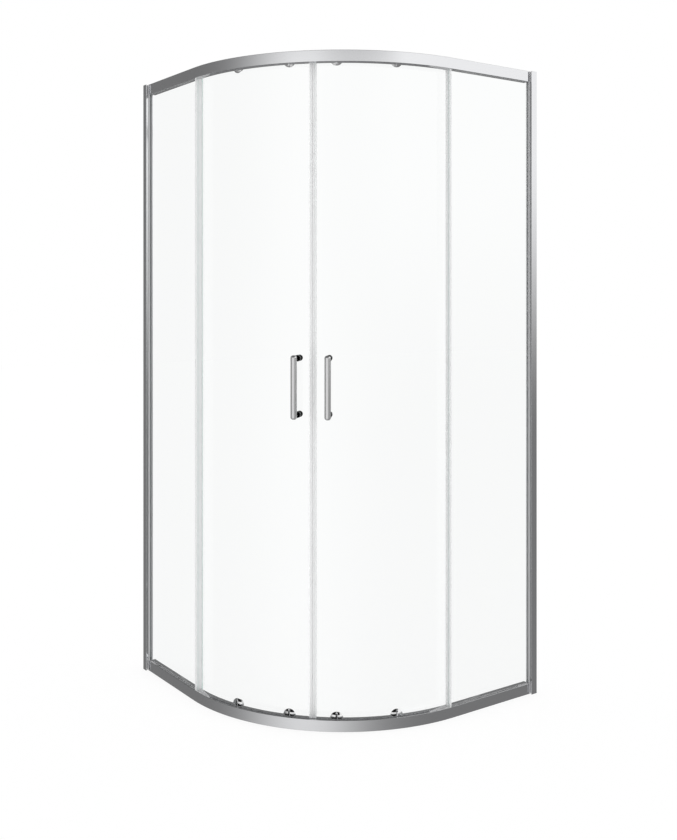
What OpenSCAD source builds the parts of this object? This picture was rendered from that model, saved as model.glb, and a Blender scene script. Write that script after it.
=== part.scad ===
// Quadrant shower enclosure: two flat fixed panes against two walls, and two curved
// sliding doors between them, in an aluminium frame. Millimetres, +Z up, origin on
// the floor under the middle of the overall square. The room's walls are at -X and +Y,
// and the doors meet on the diagonal towards +X -Y.
// The right-hand side, which ends at the +Y wall, is drawn, and the left-hand side is
// its mirror image. "t" is a depth behind the rails' outer face, "s" is a distance
// from the wall, and "phi" runs round the corner from 0 at the left-hand pane to 90 at
// the right-hand one.

/* [Overall] */
// Overall size along each wall
overall = 890; // [870:1:910]
// Overall height
height = 1900; // [1800:5:2000]
// Radius of the rails' outer face round the corner
corner_r = 550; // [540:1:560]

/* [Rails] */
// Height of the top rail's face
top_face = 32; // [32:0.5:42]
// Height of the bottom rail's face
bottom_face = 32; // [31:0.5:38]
// Wall of the rails' extrusions
rail_skin = 1.4; // [1.2:0.1:1.8]
// Hollow behind the rails' face
face_hollow = 2.4; // [2:0.1:3.5]
// Thickness of the web on each side of the slot that holds a fixed pane
web_t = 1.2; // [1:0.1:1.8]
// Depth of the slot that holds a fixed pane
slot_depth = 13; // [11:0.5:14]
// Height of the lip that keeps a wheel in its track
lip_h = 4.5; // [3.5:0.1:5]
// Thickness of that lip
lip_t = 1.2; // [1:0.1:1.6]
// Gap from the web to the side of a wheel
wheel_side_gap = 0.6; // [0.5:0.1:1.2]
// Room for a wheel to wander across its track where the rail runs straight
track_play = 4.0; // [3.8:0.1:5]
// Gap from a wall profile to the end of the rails, which the end blocks fill
end_gap = 1.5; // [1.2:0.1:4]
// Length of the plastic block on each rail end
end_block = 9.5; // [9:0.5:11]
// Length of the plug of that block inside the rail
plug_len = 14; // [10:1:25]

/* [Wall profiles] */
// How far a wall profile stands proud of the rails' face
profile_proud = 8; // [6:0.5:10]
// How far a wall profile reaches behind the rails' face
profile_behind = 15.5; // [15.5:0.5:28]
// Depth of a wall profile from the wall
profile_depth = 22; // [20:0.5:23]
// Wall of a wall profile
profile_skin = 1.6; // [1.4:0.1:2]
// Distance from the wall to the back of the jamb profile, which takes up the adjustment
jamb_back = 4; // [2:0.5:8]
// Distance from the wall to the front of the jamb profile
jamb_front = 21; // [20.5:0.5:21.5]
// Wall of a jamb profile
jamb_skin = 1.4; // [1.2:0.1:1.8]
// Thickness of the jamb profile between its slot and the wall side
jamb_floor = 2; // [1.5:0.1:3]
// Thickness of the glazing bead over the jamb profile's front
bead_t = 1.5; // [1:0.1:2]
// How far that bead covers the jamb profile in front of the pane's slot
bead_cover = 5; // [4:0.5:8]
// Gap round a jamb profile inside its wall profile
jamb_gap = 0.3; // [0.2:0.05:0.5]
// Diameter of the holes for the wall screws
wall_hole_d = 5; // [4:0.1:6]
// Distance from each end of a wall profile to its last hole
wall_hole_margin = 125; // [100:5:200]
// Number of wall holes in each profile
wall_holes = 4; // [2:1:6]

/* [Glass] */
// Thickness of the fixed panes
pane_t = 5; // [4:0.5:6]
// Thickness of the doors' glass
door_t = 5; // [4:0.5:6]
// How far each fixed pane reaches past the start of the bend
pane_reach = 12; // [11:0.5:13]
// Thickness of the glazing gaskets
gasket_t = 1; // [0.8:0.1:1.4]
// Gap from the back of the rails to the doors' glass
door_gap = 9; // [8.8:0.1:12]
// Gap from the floor to the doors' glass
door_lift = 8; // [6:0.5:9]
// Gap from the top of the enclosure to the doors' glass
door_drop = 4; // [2:0.5:5]
// How far each door reaches behind its fixed pane
door_overlap = 24; // [22:0.5:30]
// Diameter of every hole in the doors' glass
glass_hole_d = 14; // [13:0.5:16]

/* [Seals] */
// Width of the pane seals
seal_w = 6.5; // [6:0.5:8]
// Depth of the front of the pane seals
seal_front = 1; // [0.5:0.5:2.5]
// Depth of the back of the pane seals' hollow
seal_back = 21.2; // [20:0.1:23]
// Wall of the plastic seals
seal_wall = 1.4; // [1.2:0.1:1.6]
// Thickness of the flexible fins
fin_t = 0.9; // [0.7:0.1:1.2]
// Width of each magnetic seal on its door
magnet_seal_w = 11.5; // [11:0.5:14]
// Width of the magnet strips
magnet_w = 3.2; // [2.8:0.1:3.6]
// Length of the door's edge that its seals cover
seal_grip = 6; // [4:0.5:8]
// Gap between the two doors' seals when the enclosure is shut
meeting_gap = 0.4; // [0.3:0.1:0.6]
// Length of the clear wedges that close the slots beside the panes
wedge_len = 70; // [50:1:80]
// How far the tip of a wedge reaches over the rail
wedge_tip = 4; // [3:0.5:6]
// Length of the clear fillers on the bottom rail beside the wall
filler_len = 45; // [30:1:60]
// Height of the wedges and fillers over the rails
filler_h = 1.5; // [1:0.1:1.8]

/* [Rollers] */
// Angle from a pane's end to its door's rear rollers
rear_roller = 18.5; // [18:0.1:20]
// Angle from a pane's end to its door's front rollers
front_roller = 37.5; // [36:0.1:38]
// Diameter of the roller caps
cap_d = 37; // [36:0.5:38]
// Rise of the roller caps' dome
cap_dome = 6; // [5:0.1:6.2]
// Gap from the back of a rail to the dome of a roller cap
cap_gap = 1.2; // [1:0.1:1.4]
// Gap from the back of a rail to the rib of a roller cap
rib_gap = 0.6; // [0.4:0.1:0.8]
// Width of that rib
rib_w = 5; // [4:0.1:6]
// Height of the bottom roller caps' middle above the floor
bottom_cap_z = 26; // [25:0.5:27]
// Diameter of the wheels
wheel_d = 19; // [18:0.5:20]
// Width of the wheels
wheel_w = 4.8; // [4.4:0.1:5]
// Gap between a wheel's tread and its track
tread_gap = 0.3; // [0.3:0.05:0.5]
// Diameter of the axles
axle_d = 5; // [4:0.1:6]
// Radial clearance of a wheel on its axle
axle_fit = 0.06; // [0.03:0.01:0.1]
// Thickness of the bottom rail above its wheel track
flange_t = 2.5; // [2:0.1:2.5]
// Travel of the release slides in the bottom rollers
release_travel = 6.5; // [6.2:0.1:7]
// Sideways gap round a release slide
slide_gap = 0.3; // [0.3:0.05:0.4]
// Diameter of the threaded studs through the doors' glass
stud_d = 8; // [6:0.5:9]
// How far those studs reach past the bushes, into their nuts
stud_grip = 5; // [4:0.5:6]
// Diameter of the round nuts inside the doors
nut_d = 24; // [20:0.5:28]
// Height of those nuts
nut_h = 7; // [6.5:0.5:9]
// Thickness of the flanges of the clear bushes
bush_flange = 0.8; // [0.6:0.1:1]
// How far each door turns about the corner's centre, in degrees
door_turn = 24; // [20:0.5:24]
// Length of the rubber stops in the tracks
stop_len = 12; // [8:1:20]
// Gap from a wheel to its stop when its door is open
stop_gap = 0.6; // [0.4:0.1:1]

/* [Handles] */
// Distance from the doors' meeting line to a handle
handle_offset = 45; // [40:1:60]
// Distance from the middle of a handle bar to the doors' glass
handle_depth = 35; // [30:1:45]
// Length of a handle bar
handle_len = 180; // [176:1:220]
// Diameter of a handle bar
handle_d = 18; // [15:0.5:19]
// Distance between a handle's pillars
handle_pitch = 160; // [128:1:160]
// Diameter of a handle's pillars
pillar_d = 15; // [12:0.5:16]
// Height of the handles' middle above the floor
handle_z = 958; // [900:1:1100]
// Diameter of the knobs inside
knob_d = 18; // [16:0.5:20]
// Length of the knobs inside
knob_len = 22; // [16:1:25]

/* [Screws] */
// Diameter of the frame screws
screw_d = 3.8; // [3.5:0.1:4.2]
// Diameter of their heads
screw_head_d = 7.2; // [6.6:0.1:8]
// Height of their heads
screw_head_h = 2.2; // [1.8:0.1:2.6]
// Number of screws that join each jamb profile to its wall profile
jamb_screws_each = 3; // [2:1:5]
// Distance from each end of a profile to its last jamb screw
jamb_screw_margin = 250; // [200:10:300]
// Diameter of the covers over the jamb screws
cover_d = 11; // [10:0.5:13]

/* [Hidden] */
$fn = 96;

// Plan
half = overall / 2;
face = half - profile_proud;
centre = face - corner_r;
straight = half + centre;

// Depths through a rail, from its face inwards
slot_t0 = rail_skin + face_hollow + web_t;
slot_t1 = slot_t0 + pane_t + 2 * gasket_t;
pane_t0 = slot_t0 + gasket_t;
pane_t1 = pane_t0 + pane_t;
track_t0 = slot_t1 + rail_skin;
wheel_t0 = track_t0 + wheel_side_gap;
wheel_t1 = wheel_t0 + wheel_w;
lip_t0 = wheel_t1 + track_play;
rail_depth = lip_t0 + lip_t;
door_t0 = rail_depth + door_gap;
door_t1 = door_t0 + door_t;

// Heights
top_z0 = height - top_face;
top_cap_z = height - cap_d / 2 - 0.5;
wheel_r = wheel_d / 2;
track_floor = top_cap_z - wheel_r - tread_gap;
track_roof = bottom_face - flange_t;
bottom_wheel_z = track_roof - tread_gap - wheel_r;
pane_z0 = bottom_face - slot_depth + gasket_t;
pane_z1 = top_z0 + slot_depth - gasket_t;
glass_z0 = door_lift;
glass_z1 = height - door_drop;

// Wall and jamb profiles
profile_t0 = -profile_proud;
profile_t1 = profile_behind;
jamb_t0 = profile_t0 + profile_skin + jamb_gap;
jamb_t1 = profile_t1 - profile_skin - jamb_gap;
rail_end_s = profile_depth + end_gap;
jamb_web_s = rail_end_s - end_block;
jamb_slot_s = jamb_web_s + jamb_floor;
pane_s0 = jamb_slot_s + gasket_t;
bead_s = jamb_front + bead_t;
profile_mid_t = (profile_t0 + profile_t1) / 2;
jamb_screw_s = (jamb_back + jamb_web_s - jamb_skin) / 2;
wall_hole_pitch = (height - 2 * wall_hole_margin) / (wall_holes - 1);
jamb_screw_pitch = (height - 2 * jamb_screw_margin) / (jamb_screws_each - 1);

// Door
deg_per_mm = 180 / (PI * (corner_r - door_t0 - door_t / 2));
glass_edge = meeting_gap / 2 + magnet_seal_w - seal_grip;
door_phi0 = 45 + glass_edge * deg_per_mm;
door_phi1 = 90 + (door_overlap - pane_reach) * deg_per_mm;
handle_phi = 45 + handle_offset * deg_per_mm;
front_phi = 90 - front_roller;
rear_phi = 90 - rear_roller;
seal_t0 = door_t0 - seal_wall;
seal_t1 = door_t1 + seal_wall + 0.2;
seal_play = 0.1;

// Rollers
cap_t0 = rail_depth + cap_gap;
cap_t1 = door_t0 - bush_flange;
rib_t0 = rail_depth + rib_gap;
stud_t1 = door_t1 + bush_flange + stud_grip;
head_t0 = wheel_t0 + 0.1;
head_t1 = head_t0 + 1.1;
head_r = axle_d / 2 + 1.5;
shoulder_t0 = wheel_t1 + 0.2;
shoulder_r = axle_d / 2 + 0.7;
slide_flange_w = rib_w + 4;
slide_flange_t0 = cap_t0 + 2.7;
slide_flange_t1 = cap_t1 - 2.1;
slide_foot_z = bottom_wheel_z - shoulder_r - 0.5;
slide_flange_z0 = bottom_wheel_z + 1.5;
slide_flange_z1 = slide_flange_z0 + 12;
slide_top_z = bottom_cap_z + cap_d / 2 + 1;
spring_floor_z = bottom_cap_z - cap_d / 2 + 1;
spring_d = 4.4;
spring_t = cap_t0 + spring_d / 2 + 0.7;
past_tangent = door_turn - rear_roller;

// Places and frames of reference

// The left-hand side is the right-hand side mirrored in the enclosure's diagonal
module left() mirror([1, 1, 0]) children();
module both() {
    children();
    left() children();
}
// A frame on the rails' outer face at the angle phi: x = -t, y is along the rail
module at(phi, z = 0)
    translate([centre, -centre, z]) rotate([0, 0, phi - 90]) translate([corner_r, 0, 0]) children();
// The same frame with its z axis pointing out of the enclosure, at depth t
module radial(phi, z, t) at(phi, z) translate([-t, 0, 0]) rotate([0, 90, 0]) children();
// A round bar from depth t0 to depth t1
module radial_bar(phi, z, t0, t1, d) radial(phi, z, t1) cylinder(d = d, h = t1 - t0);
// An upright box beside the wall: depth t, distance s from the wall, height z
module wall_box(t, s, z)
    translate([face - t[1], half - s[1], z[0]]) cube([t[1] - t[0], s[1] - s[0], z[1] - z[0]]);
// A rectangle in a rail's section: depth t and height z
module cell(t, z) translate([-t[1], z[0]]) square([t[1] - t[0], z[1] - z[0]]);
// A section carried along the right-hand straight, from s0 to s1 off the wall
module along_straight(s0, s1)
    translate([face, half - s0, 0]) rotate([90, 0, 0]) linear_extrude(s1 - s0) children();
// A section carried round the corner from phi0 to phi1
module along_corner(phi0, phi1)
    translate([centre, -centre, 0]) rotate([0, 0, phi0 - 90])
        rotate_extrude(angle = phi1 - phi0, $fn = 360) translate([corner_r, 0]) children();
// A section carried along a whole rail, bent from one length
module along_rail() {
    along_corner(0, 90) children();
    both() along_straight(rail_end_s, straight) children();
}
// A polygon in plan, drawn as [t, y] points at the angle phi, raised from z0 to z1
module upright(phi, z0, z1, points)
    at(phi, z0) linear_extrude(z1 - z0) polygon([for (p = points) [-p[0], p[1]]]);
function ring(t, y) = [[t[0], y[0]], [t[1], y[0]], [t[1], y[1]], [t[0], y[1]]];

// Frame

module wall_profile() {
    color("silver") difference() {
        wall_box([profile_t0, profile_t1], [0, profile_depth], [0, height]);
        wall_box([profile_t0 + profile_skin, profile_t1 - profile_skin],
                 [profile_skin, profile_depth + 1], [-1, height + 1]);
        for (i = [0 : wall_holes - 1])
            translate([face - profile_mid_t, half - profile_skin - 1, wall_hole_margin + i * wall_hole_pitch])
                rotate([-90, 0, 0]) cylinder(d = wall_hole_d, h = profile_skin + 2);
        jamb_screw_places(profile_t1 + 1) cylinder(d = screw_d + 0.4, h = profile_skin + 2);
    }
}

// Frames on the inside of a wall profile at its jamb screws, with z pointing outwards
module jamb_screw_places(t) {
    for (i = [0 : jamb_screws_each - 1])
        translate([face - t, half - jamb_screw_s, jamb_screw_margin + i * jamb_screw_pitch])
            rotate([0, 90, 0]) children();
}
// Frames on a jamb profile's web at its rail screws, with z pointing at the rail
module rail_screw_places(s) {
    for (z = [bottom_screw_z(), top_screw_z()])
        translate([face - (slot_t0 + slot_t1) / 2, half - s, z]) rotate([90, 0, 0]) children();
}
function bottom_screw_z() = (bottom_face - slot_depth) / 2;
function top_screw_z() = (top_z0 + slot_depth + height) / 2;

// The jamb profile slides in the wall profile and holds the pane. Its front part is cut
// away at both ends, where the rails' end blocks stand.
module jamb_profile() {
    color("silver") difference() {
        union() {
            wall_box([jamb_t0, jamb_t1], [jamb_back, jamb_web_s], [0, height]);
            wall_box([jamb_t0, jamb_t1], [jamb_web_s, jamb_front], [bottom_face, top_z0]);
        }
        wall_box([jamb_t0 + jamb_skin, jamb_t1 - jamb_skin],
                 [jamb_back - 1, jamb_web_s - jamb_skin], [-1, height + 1]);
        wall_box([slot_t0, slot_t1], [jamb_slot_s, jamb_front + 1], [bottom_face - 1, top_z0 + 1]);
        wall_box([jamb_t0 + jamb_skin, slot_t0 - jamb_skin],
                 [jamb_web_s, jamb_front - jamb_skin], [bottom_face - 1, top_z0 + 1]);
        jamb_screw_places(jamb_t1 + 1) cylinder(d = screw_d + 0.2, h = jamb_skin + 2);
        rail_screw_places(jamb_web_s - jamb_skin - 1) cylinder(d = screw_d + 0.2, h = jamb_skin + 2);
    }
}

module screw(length) {
    cylinder(d = screw_d, h = length);
    translate([0, 0, -screw_head_h]) cylinder(d = screw_head_d, h = screw_head_h);
}

module jamb_screws()
    color("gainsboro") both() jamb_screw_places(profile_t1)
        screw(profile_t1 - jamb_t1 + jamb_skin + 3);

module screw_covers() {
    cover_wall = 0.9;
    cover_h = screw_head_h + 0.2 + cover_wall;
    color("white") both() jamb_screw_places(profile_t1) translate([0, 0, -cover_h]) difference() {
        cylinder(d = cover_d, h = cover_h);
        translate([0, 0, cover_wall]) cylinder(d = screw_head_d + 0.2, h = cover_h);
    }
}

// Section of the top rail: the pane's slot opens down, the wheels' track opens up
module top_section() {
    difference() {
        cell([0, rail_depth], [top_z0, height]);
        cell([rail_skin, slot_t0 - web_t], [top_z0 + rail_skin, height - rail_skin]);
        cell([slot_t0, slot_t1], [top_z0 - 1, top_z0 + slot_depth]);
        cell([slot_t0, slot_t1], [top_z0 + slot_depth + rail_skin, height - rail_skin]);
        cell([track_t0, rail_depth + 1], [track_floor + lip_h, height + 1]);
        cell([track_t0, lip_t0], [track_floor, height + 1]);
    }
}

// Section of the bottom rail: the pane's slot opens up, the wheels' track opens down
module bottom_section() {
    difference() {
        cell([0, rail_depth], [0, bottom_face]);
        cell([rail_skin, slot_t0 - web_t], [rail_skin, bottom_face - rail_skin]);
        cell([slot_t0, slot_t1], [bottom_face - slot_depth, bottom_face + 1]);
        cell([slot_t0, slot_t1], [rail_skin, bottom_face - slot_depth - rail_skin]);
        cell([track_t0, rail_depth + 1], [-1, track_roof - lip_h - 1]);
        cell([track_t0, lip_t0], [-1, track_roof]);
    }
}

module top_rail() color("silver") along_rail() top_section();
module bottom_rail() color("silver") along_rail() bottom_section();

// Plastic blocks close the rails' ends and take the screws from the jamb profile. Their
// flanges cover the rails' whole depth in front of the wall profile.
module rail_end_blocks() {
    plug_gap = 0.2;
    flange_s = [profile_depth + jamb_gap, rail_end_s];
    plug_t = [slot_t0 + plug_gap, slot_t1 - plug_gap];
    plug_s = [rail_end_s, rail_end_s + plug_len];
    color("lightgray") both() difference() {
        union() {
            for (z = [[0, bottom_face], [top_z0, height]]) {
                wall_box([0, jamb_t1], [jamb_web_s, rail_end_s], z);
                wall_box([0, rail_depth], flange_s, z);
            }
            wall_box(plug_t, plug_s, [rail_skin + plug_gap, bottom_face - slot_depth - rail_skin - plug_gap]);
            wall_box(plug_t, plug_s, [top_z0 + slot_depth + rail_skin + plug_gap, height - rail_skin - plug_gap]);
        }
        wall_box([slot_t0, slot_t1], [jamb_slot_s, rail_end_s + 1], [bottom_face - slot_depth, bottom_face + 1]);
        wall_box([slot_t0, slot_t1], [jamb_slot_s, rail_end_s + 1], [top_z0 - 1, top_z0 + slot_depth]);
        rail_screw_places(jamb_web_s - 1) cylinder(d = screw_d + 0.1, h = end_block + plug_len + 2);
    }
}

module rail_screws()
    color("gainsboro") both() rail_screw_places(jamb_web_s - jamb_skin)
        screw(jamb_skin + end_block + plug_len - 2);

module fixed_glass()
    color("lightcyan", 0.4) wall_box([pane_t0, pane_t1], [pane_s0, straight + pane_reach], [pane_z0, pane_z1]);

// Channel gaskets round the edges of the fixed panes. Beside the wall they end in a
// bead that covers part of the jamb profile's front.
module jamb_gaskets() {
    color("dimgray") both() difference() {
        union() {
            wall_box([slot_t0, slot_t1], [jamb_slot_s, jamb_front], [bottom_face, top_z0]);
            wall_box([slot_t0 - bead_cover, jamb_t1], [jamb_front, bead_s], [bottom_face, top_z0]);
        }
        wall_box([pane_t0, pane_t1], [pane_s0, bead_s + 1], [bottom_face - 1, top_z0 + 1]);
    }
}

module rail_gaskets() {
    slot_floor = bottom_face - slot_depth;
    slot_roof = top_z0 + slot_depth;
    color("dimgray") both() difference() {
        union() {
            wall_box([slot_t0, slot_t1], [rail_end_s, straight], [slot_floor, bottom_face]);
            wall_box([slot_t0, slot_t1], [rail_end_s, straight], [top_z0, slot_roof]);
        }
        wall_box([pane_t0, pane_t1], [rail_end_s - 1, straight + 1], [pane_z0, pane_z1]);
    }
}

// Clear wedges start at each pane seal and taper towards the doors: a plate lies on the
// rail, and a tab under it plugs the pane's slot. A filler lies beside each jamb.
module slot_fillers() {
    play = 0.2;
    bead_clear = 0.3;
    seal_clear = 0.1;
    edge = 1;
    phi_per_mm = 180 / (PI * corner_r);
    wedge_y = -pane_reach - seal_wall - seal_clear;
    // The seal's side is flat, so a wedge's end clears it even at the back of the rail
    phis = [90 + (wedge_y - wedge_len) * phi_per_mm, 90 + asin(wedge_y / (corner_r - rail_depth))];
    plate_t = [edge, rail_depth - edge];
    tab_t = [slot_t0 + play, slot_t1 - play];
    tip = [wedge_tip + corner_r * (1 - sin(phis[0])), -corner_r * cos(phis[0])];
    taper = atan((plate_t[1] - tip[0]) / (wedge_y - tip[1]));
    color("white", 0.7) both() {
        difference() {
            along_corner(phis[0], phis[1]) {
                cell(plate_t, [bottom_face, bottom_face + filler_h]);
                cell(tab_t, [bottom_face - slot_depth + edge, bottom_face]);
                cell(plate_t, [top_z0 - filler_h, top_z0]);
                cell(tab_t, [top_z0, top_z0 + slot_depth - edge]);
            }
            at(90) translate([-plate_t[1], wedge_y, 0]) rotate([0, 0, taper])
                translate([-2 * rail_depth, -2 * wedge_len, 0]) cube([2 * rail_depth, 4 * wedge_len, height]);
        }
        wall_box([rail_skin, pane_t0 - play], [bead_s + bead_clear, bead_s + filler_len],
                 [bottom_face, bottom_face + filler_h]);
    }
}

// The pane seal grips the pane's free edge, and its fin hooks the door's fin
module pane_seal() {
    play = 0.05;
    y0 = -pane_reach - seal_wall;
    y1 = y0 + seal_w;
    hollow_y = [y0 + seal_wall, y1 - seal_wall];
    front_t1 = pane_t0 - play - seal_wall;
    tube_t0 = pane_t1 + play + seal_wall;
    fin_y = door_overlap - pane_reach - seal_w - fin_t;
    fin_t1 = door_t0 - 0.8;
    fin_root = 3;
    fin_z = [slide_top_z + 1.5, top_cap_z - cap_d / 2 - 1.5];
    color("white", 0.8) {
        difference() {
            upright(90, bottom_face, top_z0, ring([seal_front, seal_back], [y0, y1]));
            upright(90, bottom_face - 1, top_z0 + 1, ring([pane_t0 - play, pane_t1 + play], [-pane_reach, y1 + 1]));
            upright(90, bottom_face - 1, top_z0 + 1, ring([seal_front + seal_wall, front_t1], hollow_y));
            upright(90, bottom_face - 1, top_z0 + 1, ring([tube_t0, seal_back - seal_wall], hollow_y));
        }
        upright(90, fin_z[0], fin_z[1],
                [[seal_back - seal_wall, y1 - fin_root], [seal_back - seal_wall, y1],
                 [fin_t1, fin_y], [fin_t1, fin_y - fin_t]]);
    }
}

// Rubber stops in the tracks end each door's travel
module door_stops() {
    stop_y = (corner_r - (wheel_t0 + wheel_t1) / 2) * sin(past_tangent) + wheel_r + stop_gap;
    stop_t = [track_t0, lip_t0];
    stop_s = [straight - stop_y - stop_len, straight - stop_y];
    color("dimgray") both() {
        wall_box(stop_t, stop_s, [track_floor, track_floor + wheel_r]);
        wall_box(stop_t, stop_s, [track_roof - wheel_r, track_roof]);
    }
}

// Doors

// Every place where something passes through the door's glass
module door_holes() {
    for (phi = [front_phi, rear_phi], z = [bottom_cap_z, top_cap_z]) radial(phi, z, 0) children();
    for (z = [-1, 1] * handle_pitch / 2) radial(handle_phi, handle_z + z, 0) children();
}

module door_glass() {
    color("lightcyan", 0.4) difference() {
        along_corner(door_phi0, door_phi1) cell([door_t0, door_t1], [glass_z0, glass_z1]);
        door_holes() translate([0, 0, -door_t1 - 10]) cylinder(d = glass_hole_d, h = door_t + 20);
    }
}

// Clear flanged bushes keep the fittings off the glass
module glass_bushes() {
    inner_gap = 0.15;
    color("white", 0.6) door_holes() translate([0, 0, -door_t1 - bush_flange - inner_gap]) difference() {
        union() {
            cylinder(d = glass_hole_d + 6, h = bush_flange);
            cylinder(d = glass_hole_d - 0.2, h = door_t + 2 * bush_flange + inner_gap);
            translate([0, 0, door_t + bush_flange + inner_gap])
                cylinder(d = glass_hole_d + 6, h = bush_flange);
        }
        translate([0, 0, -1]) cylinder(d = stud_d + 0.2, h = door_t + 4);
    }
}

// The hook seal grips the door's rear edge, and its fin meets the pane seal's
module hook_seal() {
    fin_t0 = rail_depth + 0.6;
    color("white", 0.7) {
        difference() {
            upright(door_phi1, glass_z0, glass_z1, ring([seal_t0, seal_t1], [-seal_w, seal_wall]));
            upright(door_phi1, glass_z0 - 1, glass_z1 + 1,
                    ring([door_t0 - seal_play, door_t1 + seal_play + 0.2], [-seal_w - 1, 0.1]));
        }
        upright(door_phi1, glass_z0, glass_z1,
                ring([fin_t0, seal_t0 + 0.1], [-seal_w, -seal_w + fin_t]));
    }
}

// The magnetic seal grips the door's front edge and holds the magnet strip
module magnet_seal() {
    pocket_y0 = meeting_gap / 2 + 1.1;
    pocket_t = [seal_t0 + 1, seal_t1 - 1];
    color("gainsboro", 0.9) difference() {
        upright(45, glass_z0, glass_z1,
                ring([seal_t0, seal_t1], [meeting_gap / 2, meeting_gap / 2 + magnet_seal_w]));
        upright(45, glass_z0 - 1, glass_z1 + 1,
                ring([door_t0 - seal_play, door_t1 + seal_play + 0.2],
                     [glass_edge - 0.1, glass_edge + seal_grip + 1]));
        upright(45, glass_z0 - 1, glass_z1 + 1, ring(pocket_t, [pocket_y0, pocket_y0 + magnet_w + 0.1]));
    }
}

module magnet_strip() {
    y0 = meeting_gap / 2 + 1.15;
    color("dimgray") upright(45, glass_z0, glass_z1,
                             ring([seal_t0 + 1.1, seal_t1 - 1.1], [y0, y0 + magnet_w]));
}

// A bar with rounded ends on two pillars
module handle() {
    bar_t = door_t0 - handle_depth;
    end_r = 7;
    bar_r = handle_d / 2;
    pillar_t1 = door_t0 - bush_flange;
    color("lightgray") difference() {
        union() {
            at(handle_phi, handle_z) translate([-bar_t, 0, 0]) {
                cylinder(r = bar_r, h = handle_len - 2 * end_r, center = true);
                for (k = [-1, 1]) translate([0, 0, k * (handle_len / 2 - end_r)])
                    rotate_extrude() intersection() {
                        union() {
                            translate([bar_r - end_r, 0]) circle(end_r);
                            translate([0, -end_r]) square([bar_r - end_r, 2 * end_r]);
                        }
                        translate([0, -end_r]) square([bar_r, 2 * end_r]);
                    }
            }
            for (z = [-1, 1] * handle_pitch / 2) {
                radial_bar(handle_phi, handle_z + z, bar_t, pillar_t1, pillar_d);
                radial_bar(handle_phi, handle_z + z, pillar_t1 - 2.5, pillar_t1, pillar_d + 3);
            }
        }
        for (z = [-1, 1] * handle_pitch / 2)
            radial_bar(handle_phi, handle_z + z, pillar_t1 - 15, pillar_t1 + 1, stud_d + 0.1);
    }
}

// Knobs inside the door, each in one with the screw that holds the handle
module handle_knobs() {
    knob_t0 = door_t1 + bush_flange + 0.15;
    color("dimgray") for (z = [-1, 1] * handle_pitch / 2) {
        radial_bar(handle_phi, handle_z + z, knob_t0, knob_t0 + knob_len, knob_d);
        radial_bar(handle_phi, handle_z + z, door_t0 - bush_flange - 13, knob_t0 + 1, stud_d);
    }
}

// Rollers

// A domed disc whose back is at depth cap_t1
module cap_dome_body(phi, z) {
    cap_r = cap_d / 2;
    dome_r = (cap_r * cap_r + cap_dome * cap_dome) / (2 * cap_dome);
    cap_h = cap_t1 - cap_t0;
    radial(phi, z, cap_t1) intersection() {
        cylinder(r = cap_r, h = cap_h);
        translate([0, 0, cap_h - dome_r]) sphere(dome_r, $fn = 360);
    }
}
// The threaded stud behind a cap
module cap_stud(phi, z) radial_bar(phi, z, cap_t1 - 1, stud_t1, stud_d);
// A box in a roller's frame: depth t, centred width w, height z
module roller_box(phi, t, w, z)
    at(phi, z[0]) translate([-t[1], -w / 2, 0]) cube([t[1] - t[0], w, z[1] - z[0]]);

module top_roller_caps() {
    cap_r = cap_d / 2;
    color("silver") for (phi = [front_phi, rear_phi]) {
        difference() {
            union() {
                cap_dome_body(phi, top_cap_z);
                roller_box(phi, [rib_t0, cap_t1], rib_w, [top_cap_z - cap_r + 0.4, top_cap_z + cap_r - 0.4]);
                cap_stud(phi, top_cap_z);
            }
            radial_bar(phi, top_cap_z, rib_t0 - 1, cap_t1 - 1, axle_d);
        }
    }
}

// An axle's head, journal and shoulder, out to depth t1
module axle_pin(phi, z, t1) {
    radial_bar(phi, z, head_t0, head_t1, 2 * head_r);
    radial_bar(phi, z, head_t0, t1, axle_d);
    radial_bar(phi, z, shoulder_t0, rib_t0, 2 * shoulder_r);
}

module top_axles()
    color("lightslategray") for (phi = [front_phi, rear_phi]) axle_pin(phi, top_cap_z, cap_t1 - 1);

// A plain nylon wheel with a recess for the axle's head
module wheel(phi, z) {
    edge = 0.6;
    fit_r = axle_d / 2 + axle_fit;
    color("whitesmoke") radial(phi, z, wheel_t1) difference() {
        rotate_extrude() polygon([[0, 0], [wheel_r - edge, 0], [wheel_r, edge],
                                  [wheel_r, wheel_w - edge], [wheel_r - edge, wheel_w], [0, wheel_w]]);
        translate([0, 0, -1]) cylinder(r = fit_r, h = wheel_w + 2);
        translate([0, 0, wheel_t1 - head_t1 - 0.15]) cylinder(r = head_r + 0.3, h = wheel_w);
    }
}

// The bottom roller's housing: a domed cap with a channel for the release slide
module bottom_roller_caps() {
    foot_wall = 1;
    pocket_w = slide_flange_w + 2 * slide_gap;
    channel_w = rib_w + 2 * slide_gap;
    pocket_t = [slide_flange_t0 - slide_gap, slide_flange_t1 + slide_gap];
    foot = [bottom_cap_z - cap_d / 2 + 0.2, slide_foot_z + 2];
    pocket_z = [slide_flange_z0 - release_travel - slide_gap, slide_flange_z1];
    color("silver") for (phi = [front_phi, rear_phi]) {
        difference() {
            union() {
                cap_dome_body(phi, bottom_cap_z);
                roller_box(phi, [cap_t0, cap_t1], pocket_w + 2 * foot_wall, foot);
            }
            roller_box(phi, [cap_t0 - 1, pocket_t[1]], channel_w, [spring_floor_z, height / 2]);
            roller_box(phi, pocket_t, pocket_w, pocket_z);
        }
        cap_stud(phi, bottom_cap_z);
    }
}

// The release slide: a thumb rib, a flange that keeps it in the housing, and the axle
module release_slide(phi) {
    color("lightgray") {
        roller_box(phi, [rib_t0, slide_flange_t1], rib_w, [slide_foot_z, slide_top_z]);
        roller_box(phi, [slide_flange_t0, slide_flange_t1], slide_flange_w,
                   [slide_flange_z0, slide_flange_z1 - slide_gap]);
        axle_pin(phi, bottom_wheel_z, rib_t0 + 1);
    }
}

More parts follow.
